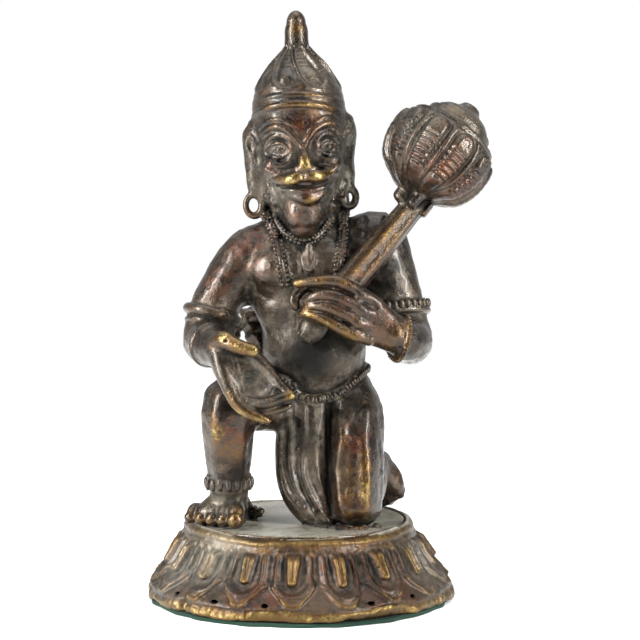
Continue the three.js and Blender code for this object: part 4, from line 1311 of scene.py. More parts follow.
def ornaments(wax, paths, finish):
    """Everything on the figure that repeats along a path."""
    tree = strung_tree()
    pieces = []

    def string(name, rows, spacing, size, **options):
        pieces.append(strung(tree, name, wax, rows, spacing, size, finish, **options))

    string("belt_studs", paths["belt"], 1.75, (0.6, 1.25, 0.6), closed=True, seed=3, lift=0.3)
    # The mala is a twist of two strands, so its beads sit in pairs across the cord
    strands = [
        # name, path, how far it lies to the side, spacing, size, options
        ("mala_left_strand", "mala", 0.8, 1.6, (0.8, 0.95, 0.8), {"seed": 4, "uneven": 0.14}),
        ("mala_right_strand", "mala", -0.8, 1.6, (0.8, 0.95, 0.8), {"seed": 5, "uneven": 0.14}),
        ("collar_upper_beads", "collar", 0.6, 1.4, (0.72, 0.72, 0.65), {"seed": 6}),
        ("collar_lower_beads", "collar", -0.6, 1.4, (0.72, 0.72, 0.65), {"seed": 7}),
    ]
    for name, path, aside, spacing, size, options in strands:
        middle = paths[path]
        across = unit(np.cross(wax.slope(middle), np.gradient(middle, axis=0)))
        string(name, middle + aside * across, spacing, size, lift=0.1, **options)
    centre, axis, wide, deep, thick = ARMLETS[2]
    armlet = rows_about(centre, axis, wide + thick, deep + thick)
    string("left_armlet_beads", armlet, 2.3, (0.9, 1.5, 0.6), closed=True, lift=0)
    anklet_foot = rows_about((-23.4, -13.7, 14.2), Z_AXIS, 7.7, 7.9)
    string("anklet_flutes", anklet_foot, 3, (1.15, 2.2, 1), closed=True, lift=0)
    centre, axis, wide, deep = LEFT_BANGLE
    bangle = rows_about(centre, axis, wide + 1, deep + 1)
    string("left_bangle_beads", bangle, 1.5, (0.5, 0.8, 0.35), closed=True, lift=0)
    return pieces


def combined(body, others, operation):
    """Joins the others to the body or cuts them from it, as one closed mesh, and removes them."""
    for other in others:
        turn_outward(other)
        joint = body.modifiers.new(other.name, "BOOLEAN")
        joint.operation = operation
        joint.solver = "MANIFOLD"
        joint.object = other
    baked(body)
    for other in others:
        bpy.data.objects.remove(other)


def drop_doubled_faces(piece):
    """Removes pairs of faces that lie back to back on the same corners and hold no metal."""
    mesh = bmesh.new()
    mesh.from_mesh(piece.data)
    faces_on = {}
    for face in mesh.faces:
        faces_on.setdefault(frozenset(face.verts), []).append(face)
    doubled = [face for faces in faces_on.values() if len(faces) > 1 for face in faces]
    bmesh.ops.delete(mesh, geom=doubled, context="FACES")
    mesh.to_mesh(piece.data)
    mesh.free()


# Wear, dirt and painted shade are read from the shape itself: how much metal lies around each point


def box_blur(volume, reach):
    """The mean of a volume over a box that reaches so many samples to each side."""
    for axis in range(3):
        total = np.cumsum(volume, axis=axis, dtype=np.float64)
        count = volume.shape[axis]
        top = np.minimum(np.arange(count) + reach, count - 1)
        low = np.arange(count) - reach - 1
        high_sum = np.take(total, top, axis=axis)
        low_sum = np.take(total, np.maximum(low, 0), axis=axis)
        mask_shape = [1, 1, 1]
        mask_shape[axis] = count
        low_sum = low_sum * (low >= 0).reshape(mask_shape)
        volume = ((high_sum - low_sum) / (2 * reach + 1)).astype(np.float32)
    return volume


def metal_around(piece, reaches):
    """For each reach in metres, the share of metal around every vertex: half on a flat, less on an edge."""
    pitch = 0.6 * MM
    margin = 8 * pitch
    points, triangles = arrays(piece.data)
    low = points.min(0) - margin
    high = points.max(0) + margin
    transform = openvdb.createLinearTransform(pitch)
    grid = openvdb.FloatGrid.createLevelSetFromPolygons(
        points - low, triangles=triangles, transform=transform, halfWidth=3.0
    )
    shape = np.ceil((high - low) / pitch).astype(int) + 1
    volume = np.zeros(shape, np.float32)
    grid.copyToArray(volume)
    inside = np.clip(0.5 - volume / pitch, 0, 1)
    shares = []
    for reach in reaches:
        cells = max(1, int(round(reach / pitch)))
        soft = box_blur(box_blur(inside, cells), cells)
        shares.append(between_samples(soft, (points - low) / pitch))
    return shares


def store(piece, name, values):
    held = piece.data.attributes.get(name)
    stored = held or piece.data.attributes.new(name, "FLOAT", "POINT")
    stored.data.foreach_set("value", np.asarray(values, np.float32))


def rubbed(points, spots):
    """How much each point lies in the named spots, each [x, y, z, reach, strength] in metres."""
    total = np.zeros(len(points))
    for x, y, z, reach, strength in spots:
        square = ((points - np.array([x, y, z])) ** 2).sum(1) / reach**2
        total = np.maximum(total, strength * np.exp(-square))
    return total


def spots_in_metres(rows):
    placed = to_metres([row[:3] for row in rows])
    return [[*place, row[3] * MM, row[4]] for place, row in zip(placed, rows)]


def plinth_spots(rows):
    return [[*(v * MM for v in row[:4]), row[4]] for row in rows]


# Where hands have rubbed the patina through to brass: x, y, z, reach, strength in drawn millimetres
BRASS_SPOTS = [
    [1.8, -20.5, 119, 3.2, 0.9], [-3.2, -20, 113.4, 3.6, 0.9], [-7.6, -17.4, 114.2, 2.8, 0.7],
    [0.4, -20.5, 114.4, 2.6, 0.9], [6, -19.6, 114.6, 3.4, 0.85], [9.8, -16.4, 115.8, 2.8, 0.65],
    [4, -19, 107, 3, 0.6], [-1.2, -5, 163.5, 3, 0.6], [2, -16.5, 135.8, 7, 0.75], [8, -14, 135.4, 6, 0.6],
    [-9, -14, 134.6, 5, 0.45], [4, -16.5, 139.8, 6, 0.7], [-24, -33, 64.6, 4, 0.9],
    [-19, -36, 62.4, 4.4, 0.7], [-14, -37, 60, 3.6, 0.8], [-23, -34.5, 43.5, 3.4, 0.6],
    [-19, -36, 39.6, 4, 0.8], [-13, -36, 37, 4, 0.9], [-2, -37, 45.4, 2.6, 0.9], [-2.4, -36, 39.6, 2, 0.7],
    [-1, -26, 80.6, 3, 0.6], [6, -29, 83, 3.4, 0.5], [14, -29, 81, 3.4, 0.35], [3, -27, 71, 3.4, 0.75],
    [9, -29, 68.4, 3.6, 0.65], [16, -29, 65, 4.4, 0.6], [27, -28, 62.4, 4.6, 0.6], [33, -27, 66, 3.4, 0.7],
    [34, -26, 62, 3.4, 0.7], [32.6, -24, 57, 3, 0.5], [-29.6, -24, 37, 4.4, 0.9],
    [-26.6, -27, 32.4, 4.4, 0.9], [-22, -27, 27, 5, 0.7], [16, -22, 29, 5, 0.75], [18, -22.5, 21, 6, 0.9],
    [19, -22.5, 12, 6, 0.95], [18, -23, 4, 5, 0.8], [-20.6, -23.6, 4.6, 2.8, 1.0], [-24, -23, 2.4, 3, 0.6],
    [-28, -21, 2.6, 3, 0.5], [-34, -16, 3.4, 2.6, 0.7], [-31, -19, 1.4, 2.6, 0.8],
    [-27, -22, 0.8, 2.6, 0.8], [-23, -25, 1.6, 3, 0.9], [20, -20, 84, 5, 0.45], [24, -18, 89, 5, 0.5],
    [28, -16, 96, 6, 0.6], [33, -14, 101, 5, 0.45], [46, -24, 116, 7, 0.25], [52, -12, 137, 6, 0.55],
    [36, 24, 5, 3.4, 0.4],
]

# Where the patina is a reddish cuprite brown
RED_SPOTS = [
    [-21, -26, 30, 7, 0.9], [-19, -24, 22, 6, 0.8], [16, -21, 28, 6.5, 0.9], [16, -22, 5, 5, 0.8],
    [1, -16, 131, 5.5, 0.9], [-18, -7, 94, 8, 0.75], [-12, -11, 86, 6, 0.3], [-27, -9, 80, 6, 0.5],
    [44, -25, 119, 8, 0.9], [52, -20, 112, 7, 0.6], [35, -22, 122, 7, 0.55], [20, -16, 84, 8, 0.4],
    [-9, -14, 117, 3, 0.7], [0.6, -17.4, 101.4, 6, 0.45], [2, -19, 109.6, 4, 0.7], [3, -15, 88.4, 4, 0.6],
    [26, -27, 66, 8, 0.45], [12, -28, 74, 7, 0.5], [34, 22, 10, 6, 0.6], [10, -18, 10, 6, 0.4],
    [-33, -8, 62, 6, 0.35],
]

# Where the patina is sooty and nearly black; on the belly, chest and legs, under the head, arms and hands,
# these spots are also painted shade
SOOT_AND_SHADE_SPOTS = [
    [4, -14, 57, 13, 0.9], [-6, -12, 68, 8, 0.65], [13, -12, 60, 8, 0.75], [1, -15, 29, 9, 0.65],
    [3, -15, 14, 7, 0.5], [-28, -16, 28, 6, 0.5], [-20, -22, 18, 8, 0.75], [-26, -22, 24, 7, 0.6],
    [12, -20, 22, 5, 0.6], [20, -20, 38, 6, 0.5], [-16, -22, 46, 6, 0.5], [-18, -2, 92, 5, 0.3],
    [24, -8, 70, 9, 0.6], [2, -11, 78, 7, 0.4], [-20, -6, 63, 7, 0.6], [9, -14, 34, 6, 0.5],
    [-10, -12, 45, 7, 0.5], [30, -6, 84, 7, 0.45], [3, -14, 88.4, 5, 0.5], [36, -10, 0.2, 9, 0.9],
    [30, -21, 0.2, 7, 0.7], [38, 8, 0.2, 8, 0.8], [3, -14, 36, 10, 0.5], [-6, -14, 24, 7, 0.5],
    [14, -22, 0.2, 4.6, 0.7], [4, -18, 0.2, 4.6, 0.7],
]

# Where pale dust and old wax lie in thin films; on the ears, cheeks and crown the pale colour is also painted
# light that brightens the head
DUST_AND_LIGHT_SPOTS = [
    [-17, -4, 124, 6, 0.06], [-16, -3, 114, 6, 0.06], [16, -4, 126, 6, 0.22], [16, -3, 116, 6, 0.26],
    [-9.5, -13, 109, 5, 0.26], [10.5, -10, 108, 5, 0.2], [6, -10, 150, 8, 0.12], [-14, -35, 50, 4.4, 0.2],
    [36, -24, 130, 8, 0.16], [55, -14, 132, 8, 0.16], [34, -6, 72, 7, 0.14], [-24, -16, 8, 6, 0.14],
]

# The plinth's own spots, in millimetres from the foot of its axis
PLINTH_RED = [[8, -40, 22, 14, 0.6], [-12, -46, 8, 14, 0.5], [30, -36, 8, 12, 0.5], [-36, -28, 6, 10, 0.3]]
PLINTH_DUST = [
    [-40, -22, 14, 13, 0.24], [-28, -30, 21, 10, 0.36], [44, -18, 12, 12, 0.16], [0, 45, 12, 26, 0.2]
]


# Materials


def linear(hex_colour):
    """sRGB hex to the linear colour that a shader takes."""
    values = [int(hex_colour[i : i + 2], 16) / 255 for i in (1, 3, 5)]
    return [v / 12.92 if v <= 0.04045 else ((v + 0.055) / 1.055) ** 2.4 for v in values] + [1.0]


def new_material(name):
    material = bpy.data.materials.new(name)
    material.use_nodes = True
    tree = material.node_tree
    tree.nodes.clear()
    return material, tree


def aged_bronze(name, brass_share=0.0, matt=0.0, even=0.1):
    """Lost-wax bronze under a century of waxed brown patina.

    The eye gets a dark grey-brown metal that is nearly black in its hollows, partly as painted shade, with
    cuprite red where it is thin, warm yellow brass where hands have rubbed it, soft grey bloom between, and
    fine casting pits. Its pale dusty film is also a painted reflection on the level deck and painted light on
    the head."""
    HAZE = 0.3  # how much of the pale bloom shows at most
    material, tree = new_material(name)
    place = add_node(tree, "ShaderNodeTexCoord").outputs["Object"]

    def attribute(label):
        return add_node(tree, "ShaderNodeAttribute", attribute_name=label).outputs["Fac"]

    def clouds(millimetres, detail=4.0, rough=0.6, warp=0.0):
        """Cloudy noise whose lumps are about this many millimetres across."""
        return add_node(tree, "ShaderNodeTexNoise", {
            "Vector": place, "Scale": 1 / (millimetres * MM), "Detail": detail, "Roughness": rough,
            "Distortion": warp,
        }).outputs["Fac"]

    def between(value, low, high, low_out=0.0, high_out=1.0):
        return add_node(
            tree,
            "ShaderNodeMapRange",
            {"Value": value, "From Min": low, "From Max": high, "To Min": low_out, "To Max": high_out},
            interpolation_type="SMOOTHSTEP",
        ).outputs["Result"]

    def sums(kind, a, b, clamp=False):
        return add_node(tree, "ShaderNodeMath", {0: a, 1: b}, operation=kind, use_clamp=clamp).outputs[0]

    def blended(share, a, b):
        return add_node(tree, "ShaderNodeMix", {"Factor": share, 6: a, 7: b}, data_type="RGBA").outputs[2]

    proud = attribute("proud")
    # How enclosed a point is, with the soot spots: it blackens recesses, partly as dark patina and partly as
    # painted shade
    hollow_and_shade = attribute("hollow_and_shade")
    red = attribute("red")
    brass = attribute("brass")

    broad = clouds(14, 5, 0.6, 0.4)
    mottle = clouds(3.2, 6, 0.7)
    specks = clouds(1.5, 5, 0.75)
    fine = clouds(0.8, 4, 0.7)
    patina = blended(between(broad, 0.35, 0.65), linear("#1A1612"), linear("#41372B"))
    patina = blended(sums("MULTIPLY", between(mottle, 0.45, 0.7), 0.7), patina, linear("#48331F"))
    # Cuprite red, patchy
    cuprite = sums("MAXIMUM", red, between(broad, 0.62, 0.8, 0.0, 0.35))
    redness = sums("MULTIPLY", cuprite, between(mottle, 0.4, 0.62, 0.1, 0.9))
    patina = blended(redness, patina, linear("#4E1E0B"))
    # Pale wax and dust cling beside the hollows; black dirt and painted shade fill them, and black dirt
    # specks the rest
    bare = sums("SUBTRACT", 1.0, brass, True)
    haze = sums("MULTIPLY", between(hollow_and_shade, 0.04, 0.3, 0.0, HAZE), between(mottle, 0.4, 0.65))
    patina = blended(sums("MULTIPLY", haze, bare), patina, linear("#7A786C"))
    patina = blended(between(specks, 0.53, 0.66, 0.0, 0.7), patina, linear("#16130F"))
    grime_and_shade = sums("MULTIPLY", between(hollow_and_shade, 0.3, 0.85), between(mottle, 0.2, 0.6, 0.8, 1.0), True)
    patina = blended(grime_and_shade, patina, linear("#100E0B"))
    # Brass on the rubbed places and on the proud edges
    edge = sums("MULTIPLY", between(proud, 0.45, 1.0), between(mottle, 0.4, 0.62, 0.1, 0.7))
    speckle = sums("ADD", sums("MULTIPLY", mottle, 0.5), sums("MULTIPLY", specks, 0.5))
    speckle = sums("ADD", speckle, sums("MULTIPLY", proud, 0.3))
    worn = sums("MULTIPLY", brass, between(speckle, 0.44, 0.74, even, 1.0))
    worn = sums("MAXIMUM", worn, sums("MULTIPLY", edge, 0.4 + brass_share))
    worn = sums("MULTIPLY", worn, between(hollow_and_shade, 0.3, 0.9, 1.0, 0.3), True)
    gold = blended(between(specks, 0.35, 0.7), linear("#5E4C28"), linear("#9C8B56"))
    colour = blended(between(worn, 0.05, 0.45), patina, linear("#503A1C"))
    colour = blended(between(worn, 0.4, 0.9), colour, gold)
    # A pale film of dust and old wax; on the level deck it is also a painted reflection, and on the head
    # painted light
    pale_film_and_painted_light = sums("MULTIPLY", attribute("dust_and_painted_light"), between(mottle, 0.3, 0.6, 0.6, 0.95))
    colour = blended(pale_film_and_painted_light, colour, linear("#A09C8E"))

    roughness = sums(
        "ADD", between(mottle, 0.3, 0.75, 0.17 + matt, 0.39 + matt), sums("MULTIPLY", hollow_and_shade, 0.4)
    )
    roughness = sums("SUBTRACT", roughness, sums("MULTIPLY", brass, 0.1))
    metal = sums("ADD", sums("MULTIPLY", worn, 0.3), 0.7, True)
    metal = sums("SUBTRACT", metal, sums("MULTIPLY", pale_film_and_painted_light, 0.5))

    pits = add_node(tree, "ShaderNodeBump", {"Height": fine, "Strength": 0.5, "Distance": 0.16 * MM})
    dents = add_node(tree, "ShaderNodeBump", {
        "Height": clouds(2.2, 5, 0.65), "Strength": 0.7, "Distance": 0.6 * MM, "Normal": pits.outputs[0]
    })
    shader = add_node(tree, "ShaderNodeBsdfPrincipled", {
        "Base Color": colour,
        "Metallic": metal,
        "Roughness": roughness,
        "Normal": dents.outputs[0],
        "Coat Weight": between(hollow_and_shade, 0.1, 0.6, 0.25 - matt, 0.02),
        "Coat Roughness": 0.16,
    })
    add_node(tree, "ShaderNodeOutputMaterial", {"Surface": shader.outputs[0]})
    return material


def green_felt():
    """Wool felt glued under the rim: matt and fibrous, with lighter fuzz that catches the light."""
    material, tree = new_material("green_wool_felt")
    place = add_node(tree, "ShaderNodeTexCoord").outputs["Object"]
    fibre = add_node(tree, "ShaderNodeTexNoise", {
        "Vector": place, "Scale": 1 / (0.5 * MM), "Detail": 6.0, "Roughness": 0.75
    })
    colours = {"Factor": fibre.outputs["Fac"], 6: linear("#02160F"), 7: linear("#083A28")}
    shade = add_node(tree, "ShaderNodeMix", colours, data_type="RGBA")
    fuzz = add_node(tree, "ShaderNodeBump", {
        "Height": fibre.outputs["Fac"], "Strength": 0.6, "Distance": 0.3 * MM
    })
    shader = add_node(tree, "ShaderNodeBsdfPrincipled", {
        "Base Color": shade.outputs[2], "Roughness": 0.95, "Normal": fuzz.outputs[0], "Sheen Weight": 0.03,
        "Sheen Roughness": 0.5,
    })
    add_node(tree, "ShaderNodeOutputMaterial", {"Surface": shader.outputs[0]})
    return material


def use_only(piece, material):
    piece.data.materials.clear()
    piece.data.materials.append(material)
    indices = np.zeros(len(piece.data.polygons), np.int32)
    piece.data.polygons.foreach_set("material_index", indices)


def weather(piece, brass_spots, red_spots, soot_and_shade_spots, dust_and_light_spots, grime_and_shade=1.0):
    """Stores what the patina reads: proud edges, hollows with painted shade, rubbed brass, cuprite red and
    the dusty deck, whose pale film is also a painted reflection.
    """
    points, _ = arrays(piece.data)
    near, wide = metal_around(piece, (0.9 * MM, 2.6 * MM))
    store(piece, "proud", np.clip((0.5 - near) * 4.5, 0, 1) * 0.7 + np.clip((0.5 - wide) * 3, 0, 1) * 0.3)
    # How enclosed each point is; the colour turns this into dark patina and painted shade in the recesses
    hollow_and_shade = np.clip((near - 0.53) * 6, 0, 1) * 0.6 + np.clip((wide - 0.52) * 4, 0, 1) * 0.6
    # The soot spots join the hollows and add painted shade under the head, arms and hands
    soot_and_shade = rubbed(points, soot_and_shade_spots)
    store(piece, "hollow_and_shade", np.maximum(np.clip(grime_and_shade * hollow_and_shade, 0, 1), soot_and_shade))
    brass = rubbed(points, brass_spots)
    if "brass" in piece.data.attributes:
        held = np.empty(len(points), np.float32)
        piece.data.attributes["brass"].data.foreach_get("value", held)
        brass = np.maximum(brass, held)
    store(piece, "brass", brass)
    store(piece, "red", rubbed(points, red_spots))
    normals = np.empty(len(points) * 3, np.float32)
    piece.data.vertex_normals.foreach_get("vector", normals)
    # The level deck is painted pale: dust, and also a painted reflection of the light above
    level = smooth_step(0.75, 0.97, normals.reshape(-1, 3)[:, 2])
    deck = level * (np.abs(points[:, 2] - DECK_HEIGHT * MM) < 0.5 * MM)
    store(piece, "dust_and_painted_light", np.maximum(deck * (1 - 0.9 * soot_and_shade), rubbed(points, dust_and_light_spots)))


# The plinth


def skirt_radius(share):
    """Outline of the skirt without petals: radius at a share of the height between rim and lip."""
    STRAIGHT = 0.55
    FLARED = 0.42
    SWEEP = 2.6
    down = 1 - share
    return DECK_RADIUS + (PLINTH_RADIUS - DECK_RADIUS) * (STRAIGHT * down + FLARED * down**SWEEP)


def petal_relief(across, share):
    """How proud a petal stands, and how much its raised tongue has been rubbed to brass.

    across runs from -1 to 1 over the petal's sector, share from 0 at the rim to 1 at the lip. A grooved
    tongue lies in a dished petal with a raised rim, and a pointed under-petal runs down to the rim."""
    LENGTH_TO_WIDTH = 2.6
    side = np.abs(across)

    def outside_u(half, foot):
        return np.hypot(side, np.maximum(0, foot - share) * LENGTH_TO_WIDTH) - half

    outer = outside_u(0.77, 0.48)
    inner = outside_u(0.31 + 0.08 * smooth_step(0.45, 0.85, share), 0.47)
    dish = 0.3 * smooth_step(0.05, -0.1, outer) + 0.8 * swell(outer + 0.05, 0.14)
    tongue = smooth_step(0.04, -0.25, inner)
    open_half = 0.17 + 0.15 * smooth_step(0.5, 1, share)  # the tongue's two ridges part towards the top
    furrow = 0.55 * swell(side, 0.45 * open_half) * smooth_step(0.36, 0.5, share)
    ridges = 0.2 * swell(side - open_half, 0.08)
    under_half = 0.85 * (share / 0.4) ** 0.85
    under = smooth_step(0.0, 0.08, outer) * smooth_step(0.46, 0.36, share)
    point = 0.45 * smooth_step(0.08, -0.08, side - under_half) * under
    point += 0.5 * swell(side - under_half, 0.1) * under
    fade = smooth_step(0.0, 0.06, share) * smooth_step(0.92, 0.8, share)
    relief = PETAL_RELIEF * (dish + tongue * (1.5 - furrow + ridges) + point) * fade
    return relief, np.maximum(0.9 * tongue, point) * fade


def plinth_sector():
    """One petal's sector of the plinth as a closed band of faces, from which the ring is made."""
    COLUMNS = 38
    ROWS = 50
    foot = FELT_THICKNESS + CLEARANCE
    petal_foot = foot + RIM_HEIGHT
    top = DECK_HEIGHT + LIP_STEP
    petal_top = top - LIP_HEIGHT
    seat = PLATE_RADIUS + CLEARANCE
    seat_top = DECK_HEIGHT - PLATE_THICKNESS - CLEARANCE
    roof = seat_top - PLINTH_WALL
    # radius, height, how freely the surface wanders, and how much it is rubbed to brass
    rim = [
        (PLINTH_RADIUS - 2, foot, 0.4, 0.3), (PLINTH_RADIUS - 1.2, foot + 0.2, 0.9, 0.4),
        (PLINTH_RADIUS - 0.9, foot + 0.7, 1.6, 0.5), (PLINTH_RADIUS - 0.8, foot + 1.4, 1.8, 0.6),
        (PLINTH_RADIUS - 0.9, foot + 2.1, 1.8, 0.65), (PLINTH_RADIUS - 1.1, foot + 2.7, 1.6, 0.6),
        (PLINTH_RADIUS - 1.7, foot + 3.3, 1.2, 0.4),
    ]
    lip = [
        (DECK_RADIUS + 1.1, petal_top + 0.5, 0.6, 0.55), (DECK_RADIUS + 1.15, petal_top + 1.1, 0.6, 0.6),
        (DECK_RADIUS + 0.95, petal_top + 1.7, 0.6, 0.6), (DECK_RADIUS + 0.5, top - 0.9, 0.6, 0.6),
        (DECK_RADIUS - 0.05, top - 0.4, 0.5, 0.5), (DECK_RADIUS - 0.7, top - 0.05, 0.4, 0.3),
        (seat + 0.6, top - 0.05, 0.2, 0), (seat, top - 0.5, 0, 0), (seat, seat_top, 0, 0),
        (PLATE_RADIUS - SEAT_WIDTH, seat_top, 0, 0), (PLATE_RADIUS - SEAT_WIDTH, roof, 0, 0),
    ]
    inside = []
    for share in (1.0, 0.75, 0.5, 0.25, 0.0):
        inside.append((skirt_radius(share) - PLINTH_WALL, petal_foot + share * (roof - petal_foot), 0.2, 0))
    inside.append((skirt_radius(0) - PLINTH_WALL, foot, 0, 0))
    shares = np.linspace(0, 1, ROWS + 1)
    heights = petal_foot + shares * (petal_top - petal_foot)
    skirt = np.stack([skirt_radius(shares), heights, 0 * shares + 0.55, 0 * shares + 0.1], 1)
    skirt[:, 0] += 1.1 * smooth_step(0.8, 0.95, shares)  # the lip swells out above the petals
    skirt[:, 0] -= 0.7 * swell(shares, 0.035)  # a crease parts the skirt from the rim
    skirt[:, 3] += 0.4 * smooth_step(0.78, 0.9, shares)
    columns = []
    for across in np.linspace(-1, 1, COLUMNS + 1):
        petal = skirt.copy()
        relief, rubbed_tongue = petal_relief(across, shares)
        petal[:, 0] = np.minimum(petal[:, 0] + relief, PLINTH_RADIUS - 1.2)
        petal[:, 3] = np.maximum(petal[:, 3], 0.66 * rubbed_tongue)
        outline = np.vstack([rim, petal, lip, inside])
        angle = across * math.pi / PETAL_COUNT
        place = np.stack(
            [outline[:, 0] * math.cos(angle), outline[:, 0] * math.sin(angle), outline[:, 1]], 1
        )
        columns.append(np.hstack([place * MM, outline[:, 2:]]))
    count = len(columns[0])
    table = np.vstack(columns)
    faces = []
    for column in range(COLUMNS):
        for row in range(count):
            a = column * count + row
            b = column * count + (row + 1) % count
            faces.append((a, a + count, b + count, b))
    sector = new_object("plinth_sector", table[:, :3], faces)
    store(sector, "freedom", table[:, 3])
    store(sector, "brass", table[:, 4])
    return sector


def petal_ring_tree():
    """Sets one sector round the axis, merges the seams and leaves the unevenness of hand-worked wax."""
    tree = new_geometry_tree("petal_ring", [
        ("Petals", "NodeSocketInt", PETAL_COUNT), ("First Petal", "NodeSocketFloat", 0.0),
        ("Sway", "NodeSocketFloat", 0.002), ("Sway Width", "NodeSocketFloat", 0.02),
        ("Ripple", "NodeSocketFloat", 0.001), ("Ripple Width", "NodeSocketFloat", 0.004),
        ("Finish", "NodeSocketMaterial", None),
    ])
    start = add_node(tree, "NodeGroupInput")

    def maths(operation, *values):
        return add_node(tree, "ShaderNodeMath", dict(enumerate(values)), operation=operation).outputs[0]

    def vectors(operation, inputs):
        return add_node(tree, "ShaderNodeVectorMath", inputs, operation=operation).outputs[0]

    ring = add_node(tree, "GeometryNodeMeshLine", {
        "Count": start.outputs["Petals"], "Offset": (0.0, 0.0, 0.0)
    })
    index = add_node(tree, "GeometryNodeInputIndex")
    step = maths("DIVIDE", 2 * math.pi, start.outputs["Petals"])
    turn = maths("MULTIPLY_ADD", index.outputs[0], step, start.outputs["First Petal"])
    angles = add_node(tree, "ShaderNodeCombineXYZ", {"Z": turn})
    placed = add_node(tree, "GeometryNodeInstanceOnPoints", {
        "Points": ring.outputs[0], "Instance": start.outputs["Geometry"], "Rotation": angles.outputs[0]
    })
    real = add_node(tree, "GeometryNodeRealizeInstances", {"Geometry": placed.outputs[0]})
    merged = add_node(tree, "GeometryNodeMergeByDistance", {
        "Geometry": real.outputs[0], "Distance": 0.00002
    })
    free = add_node(
        tree, "GeometryNodeInputNamedAttribute", {"Name": "freedom"}, data_type="FLOAT"
    ).outputs[0]
    position = add_node(tree, "GeometryNodeInputPosition").outputs[0]

    def noise(width, detail):
        frequency = maths("DIVIDE", 1.0, width)
        settings = {"Vector": position, "Scale": frequency, "Detail": detail, "Roughness": 0.6}
        return add_node(tree, "ShaderNodeTexNoise", settings)

    # Noise gathers about a half, so the halves are taken off before it is scaled
    broad = vectors("SUBTRACT", {
        0: noise(start.outputs["Sway Width"], 1.0).outputs["Color"], 1: (0.5, 0.5, 0.5)
    })
    swayed = vectors("SCALE", {0: broad, 3: maths("MULTIPLY", start.outputs["Sway"], free)})
    fine = maths("SUBTRACT", noise(start.outputs["Ripple Width"], 3.0).outputs["Fac"], 0.5)
    height = maths("MULTIPLY", maths("MULTIPLY", fine, start.outputs["Ripple"]), free)
    rippled = vectors("SCALE", {0: add_node(tree, "GeometryNodeInputNormal").outputs[0], 3: height})
    moved = add_node(tree, "GeometryNodeSetPosition", {
        "Geometry": merged.outputs[0], "Offset": vectors("ADD", {0: swayed, 1: rippled})
    })
    finished = add_node(tree, "GeometryNodeSetMaterial", {
        "Geometry": moved.outputs[0], "Material": start.outputs["Finish"]
    })
    add_node(tree, "NodeGroupOutput", {"Geometry": finished.outputs[0]})
    return tree


def slot_cutters():
    """A low slot between each pair of petals, but for the pair where the casting closed it."""
    SIDES = 10
    points = []
    faces = []
    petal_foot = FELT_THICKNESS + CLEARANCE + RIM_HEIGHT
    for i in range(PETAL_COUNT - 1):
        angle = FIRST_PETAL + 2 * math.pi * (i + 1.5) / PETAL_COUNT
        out = np.array([math.cos(angle), math.sin(angle), 0])
        side = np.array([-math.sin(angle), math.cos(angle), 0])
        wide = 0.5 * SLOT_WIDTH * (0.85 + 0.2 * math.sin(3.1 * i))
        base = len(points)
        for reach in (-2, 2):
            for turn in turns(SIDES):
                spot = out * (skirt_radius(0) + reach * PLINTH_WALL) + side * wide * math.cos(turn)
                spot[2] = petal_foot + SLOT_HEIGHT + 0.5 * SLOT_HEIGHT * math.sin(turn)
                points.append(tuple(spot * MM))
        faces.append(tuple(range(base + SIDES - 1, base - 1, -1)))
        faces.append(tuple(range(base + SIDES, base + 2 * SIDES)))
        for k in range(SIDES):
            n = (k + 1) % SIDES
            faces.append((base + k, base + n, base + SIDES + n, base + SIDES + k))
    return new_object("slot_cutters", points, faces, smooth=False)


def lotus_plinth(finish):
    sector = plinth_sector()
    values = {
        "Petals": PETAL_COUNT, "First Petal": FIRST_PETAL, "Sway": 4.2 * MM, "Sway Width": 17 * MM,
        "Ripple": 2 * MM, "Ripple Width": 5 * MM, "Finish": finish,
    }
    plinth = run_tree(sector, petal_ring_tree(), values)
    plinth.name = "lotus_plinth_casting"
    turn_outward(plinth)
    combined(plinth, [slot_cutters()], "DIFFERENCE")
    lower_front_lip(plinth)
    plinth.data.shade_smooth()
    return plinth


def lower_front_lip(plinth):
    """The lip has sunk at the front, where the edge of the figure's plate shows above it as a dark line."""
    SUNK = 0.9
    NOTCH_TURN = math.radians(-138)
    NOTCH_WIDTH = 1.3
    NOTCH_DEPTH = 0.03  # as a share of the radius
    points, _ = arrays(plinth.data)
    lip_foot = (DECK_HEIGHT + LIP_STEP - LIP_HEIGHT) * MM
    facing = -points[:, 1] / np.hypot(points[:, 0], points[:, 1])
    high = np.clip((points[:, 2] - lip_foot) / (LIP_HEIGHT * MM), 0, 1)
    points[:, 2] -= SUNK * MM * smooth_step(0.55, 0.9, facing) * high
    # A casting flaw notches the rim at the left of the front
    away = (np.arctan2(points[:, 1], points[:, 0]) - NOTCH_TURN) * PLINTH_RADIUS
    rim_top = (FELT_THICKNESS + CLEARANCE + RIM_HEIGHT) * MM
    outer = np.hypot(points[:, 0], points[:, 1]) > (PLINTH_RADIUS - PLINTH_WALL) * MM
    low = smooth_step(rim_top * 1.2, rim_top * 0.8, points[:, 2])
    depth = NOTCH_DEPTH * swell(away, NOTCH_WIDTH) * low * outer
    points[:, :2] *= (1 - depth)[:, None]
    plinth.data.vertices.foreach_set("co", points.ravel())
    plinth.data.update()


